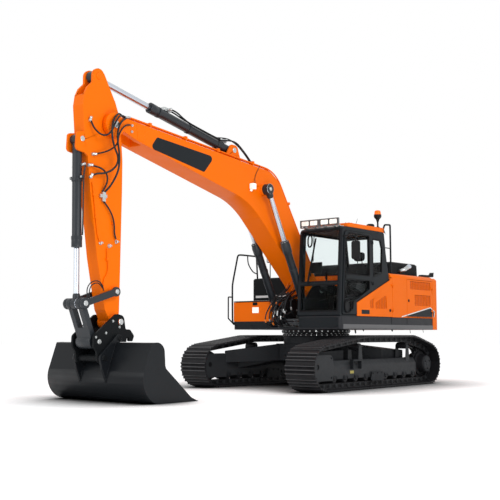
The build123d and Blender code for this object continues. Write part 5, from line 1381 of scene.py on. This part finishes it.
# Hoses that cross a joint: name, the two bodies, diameter, points from the first body to the second
JOINT_HOSES = (
    ("arm_hose_1", ("boom", "arm"), 0.026, (
        (5.2, 0.17, 4.22), (5.29, 0.2, 4.23), (5.4, 0.25, 4.19), (5.51, 0.28, 4.06), (5.56, 0.28, 3.95),
        (5.63, 0.26, 3.86), (5.73, 0.23, 3.85), (5.81, 0.18, 3.93), (5.845, 0.15, 4.02), (5.855, 0.14, 4.07),
    )),
    ("arm_hose_2", ("boom", "arm"), 0.03, (
        (5.2, 0.13, 4.215), (5.3, 0.16, 4.26), (5.42, 0.22, 4.22), (5.55, 0.27, 4.08), (5.58, 0.29, 3.88),
        (5.54, 0.29, 3.72), (5.42, 0.28, 3.54), (5.48, 0.26, 3.39), (5.63, 0.22, 3.3), (5.76, 0.16, 3.29),
        (5.825, 0.14, 3.25),
    )),
    ("arm_hose_3", ("boom", "arm"), 0.03, (
        (5.2, 0.19, 4.2), (5.32, 0.24, 4.16), (5.46, 0.29, 4.0), (5.48, 0.3, 3.81), (5.43, 0.3, 3.6),
        (5.43, 0.29, 3.39), (5.48, 0.26, 3.24), (5.53, 0.2, 3.11), (5.57, 0.155, 3.05), (5.58, 0.14, 3.03),
    )),
    ("arm_hose_4", ("boom", "arm"), 0.024, (
        (5.17, 0.235, 4.1), (5.28, 0.25, 4.09), (5.43, 0.27, 3.91), (5.43, 0.26, 3.76), (5.55, 0.21, 3.65),
        (5.71, 0.16, 3.59), (5.79, 0.14, 3.57),
    )),
    ("arm_cylinder_hose_1", ("arm_barrel", "boom"), 0.026, (
        (2.97, 0.0, 4.312), (2.8, 0.02, 4.34), (2.6, 0.045, 4.33), (2.38, 0.05, 4.24), (2.18, 0.05, 4.1),
        (2.06, 0.05, 3.99), (2.03, 0.05, 3.93),
    )),
    ("arm_cylinder_hose_2", ("arm_barrel", "boom"), 0.026, (
        (2.97, 0.09, 4.255), (2.82, 0.115, 4.28), (2.6, 0.145, 4.29), (2.4, 0.12, 4.2), (2.2, 0.1, 4.08),
        (2.09, 0.095, 3.99), (2.06, 0.095, 3.935),
    )),
    ("link_hose_1", ("arm", "guides"), 0.016, (
        (5.545, 0.125, 1.6), (5.57, 0.13, 1.68), (5.66, 0.135, 1.745), (5.8, 0.14, 1.72), (5.9, 0.165, 1.62),
        (5.9, 0.18, 1.5), (5.895, 0.18, 1.45),
    )),
    ("link_hose_2", ("arm", "guides"), 0.016, (
        (5.575, 0.125, 1.645), (5.62, 0.13, 1.695), (5.7, 0.135, 1.71), (5.8, 0.14, 1.67),
        (5.855, 0.165, 1.58), (5.86, 0.18, 1.48), (5.86, 0.18, 1.44),
    )),
)
ARM_LOOP = (
    (5.865, 0.14, 3.4), (5.78, 0.16, 3.395), (5.66, 0.19, 3.37), (5.575, 0.195, 3.3), (5.56, 0.19, 3.2),
    (5.59, 0.175, 3.11), (5.61, 0.15, 3.055), (5.615, 0.14, 3.035),
)
ARM_FALL = (
    (5.59, 0.14, 2.905), (5.53, 0.15, 2.85), (5.42, 0.155, 2.71), (5.38, 0.155, 2.56), (5.38, 0.15, 2.44),
    (5.335, 0.14, 2.37),
)

# Hoses from the valves to the boom: start, furthest reach, (x, y) of the end on the boom's belly, diameter
BOOM_HOSES = (
    ((0.865, -0.17, 1.126), (1.26, -0.17, 1.34), (0.6, -0.15), 0.022),
    ((0.865, -0.115, 1.126), (1.44, -0.12, 1.29), (0.76, -0.105), 0.024),
    ((0.865, -0.06, 1.126), (1.2, -0.09, 1.44), (0.56, -0.065), 0.02),
    ((0.865, 0.0, 1.126), (1.38, 0.02, 1.36), (0.7, -0.02), 0.026),
    ((0.865, 0.055, 1.126), (1.48, 0.07, 1.27), (0.82, 0.03), 0.022),
    ((0.865, 0.11, 1.126), (1.24, 0.14, 1.48), (0.62, 0.06), 0.024),
    ((0.865, 0.17, 1.126), (1.36, 0.17, 1.33), (0.74, 0.105), 0.02),
    ((0.82, -0.2, 1.3), (1.16, -0.2, 1.54), (0.66, -0.185), 0.022),
    ((0.82, 0.2, 1.3), (1.12, 0.22, 1.56), (0.64, 0.185), 0.022),
    ((0.76, 0.2, 1.42), (1.28, 0.2, 1.44), (0.78, 0.15), 0.02),
    ((0.76, -0.2, 1.42), (1.08, -0.14, 1.6), (0.54, -0.12), 0.02),
    ((0.82, 0.2, 1.21), (1.4, 0.12, 1.38), (0.58, 0.13), 0.02),
)
BELLY_FOOT = (0.45, 1.64)
BELLY_SLOPE = 0.887


def hoses():
    """The hoses of the boom and the arm, with the valve block that the boom's come from."""
    for name, bodies, diameter, points in JOINT_HOSES:
        jointed_hose(name, diameter, points)
    fixed_hose("arm_loop", "arm", 0.026, ARM_LOOP)
    fixed_hose("arm_fall", "arm", 0.024, ARM_FALL)
    block = Piece().block((0.62, -0.21, 1.1), (0.8, 0.21, 1.155))
    block.block((0.58, -0.18, 1.1), (0.74, 0.18, 1.26)).done("valve_block", "house", ENGINE, 0.006)
    ends, heads = Piece(), Piece()
    for number, ((x, y, z), (far_x, far_y, far_z), (top_x, top_y), diameter) in enumerate(BOOM_HOSES):
        radius = diameter / 2
        top_z = BELLY_FOOT[1] + (top_x - BELLY_FOOT[0]) * BELLY_SLOPE
        ends.fitting((x - 0.085, y, z - 0.003), (1, 0, 0.03), radius * 1.15, 0.09)
        heads.fitting((top_x - 0.02, top_y, top_z + 0.015), (0.55, 0, -0.83), radius, 0.09)
        points = (
            (x, y, z), ((x + far_x) / 2, y, z - 0.01), (far_x - 0.02, far_y, far_z - 0.15),
            (far_x, far_y, far_z + 0.04),
            ((far_x + top_x) / 2 + 0.07, (far_y + top_y) / 2, (far_z + top_z) / 2 + 0.02),
            (top_x + 0.06, top_y, top_z - 0.13), (top_x + 0.012, top_y, top_z - 0.027),
        )
        low = 0.3 + 0.03 * (number % 4)
        middle = (low, low + 0.07, (ZINC, BRIGHT, ZINC)[number % 3])
        sleeves = ((0.0, 0.07, ZINC), middle, (0.93, 1.0, BRIGHT))
        jointed_hose(f"boom_hose_{number + 1}", diameter, points, sleeves)
    ends.done("block_fittings", "house", ZINC)
    heads.done("belly_fittings", "boom", BRIGHT)


add_camera()
add_world()
add_floor()
add_lamp("key", (6.0, 12.0, 9.0), (1.0, 0.0, 1.5), 7.0, 620)
add_lamp("front", (16.0, -2.0, 7.0), (3.0, 0.0, 1.5), 7.0, 330)
add_lamp("low", (6.6, 4.6, 0.05), (3.6, 0.0, 3.9), 2.6, 130)
hoses()
dress_nodes()
for side, hand in SIDES:
    track_details(side, hand)
    frame_details(side, hand)
ring_details()
belt_details()
panel_details()
tail_details()
hood_details()
right_side_details()
rails()
cab_outside()
roof_details()
interior()
pin_ends()
boom_details()
cylinder_details()
rod_eyes()
arm_details()
coupler_details()
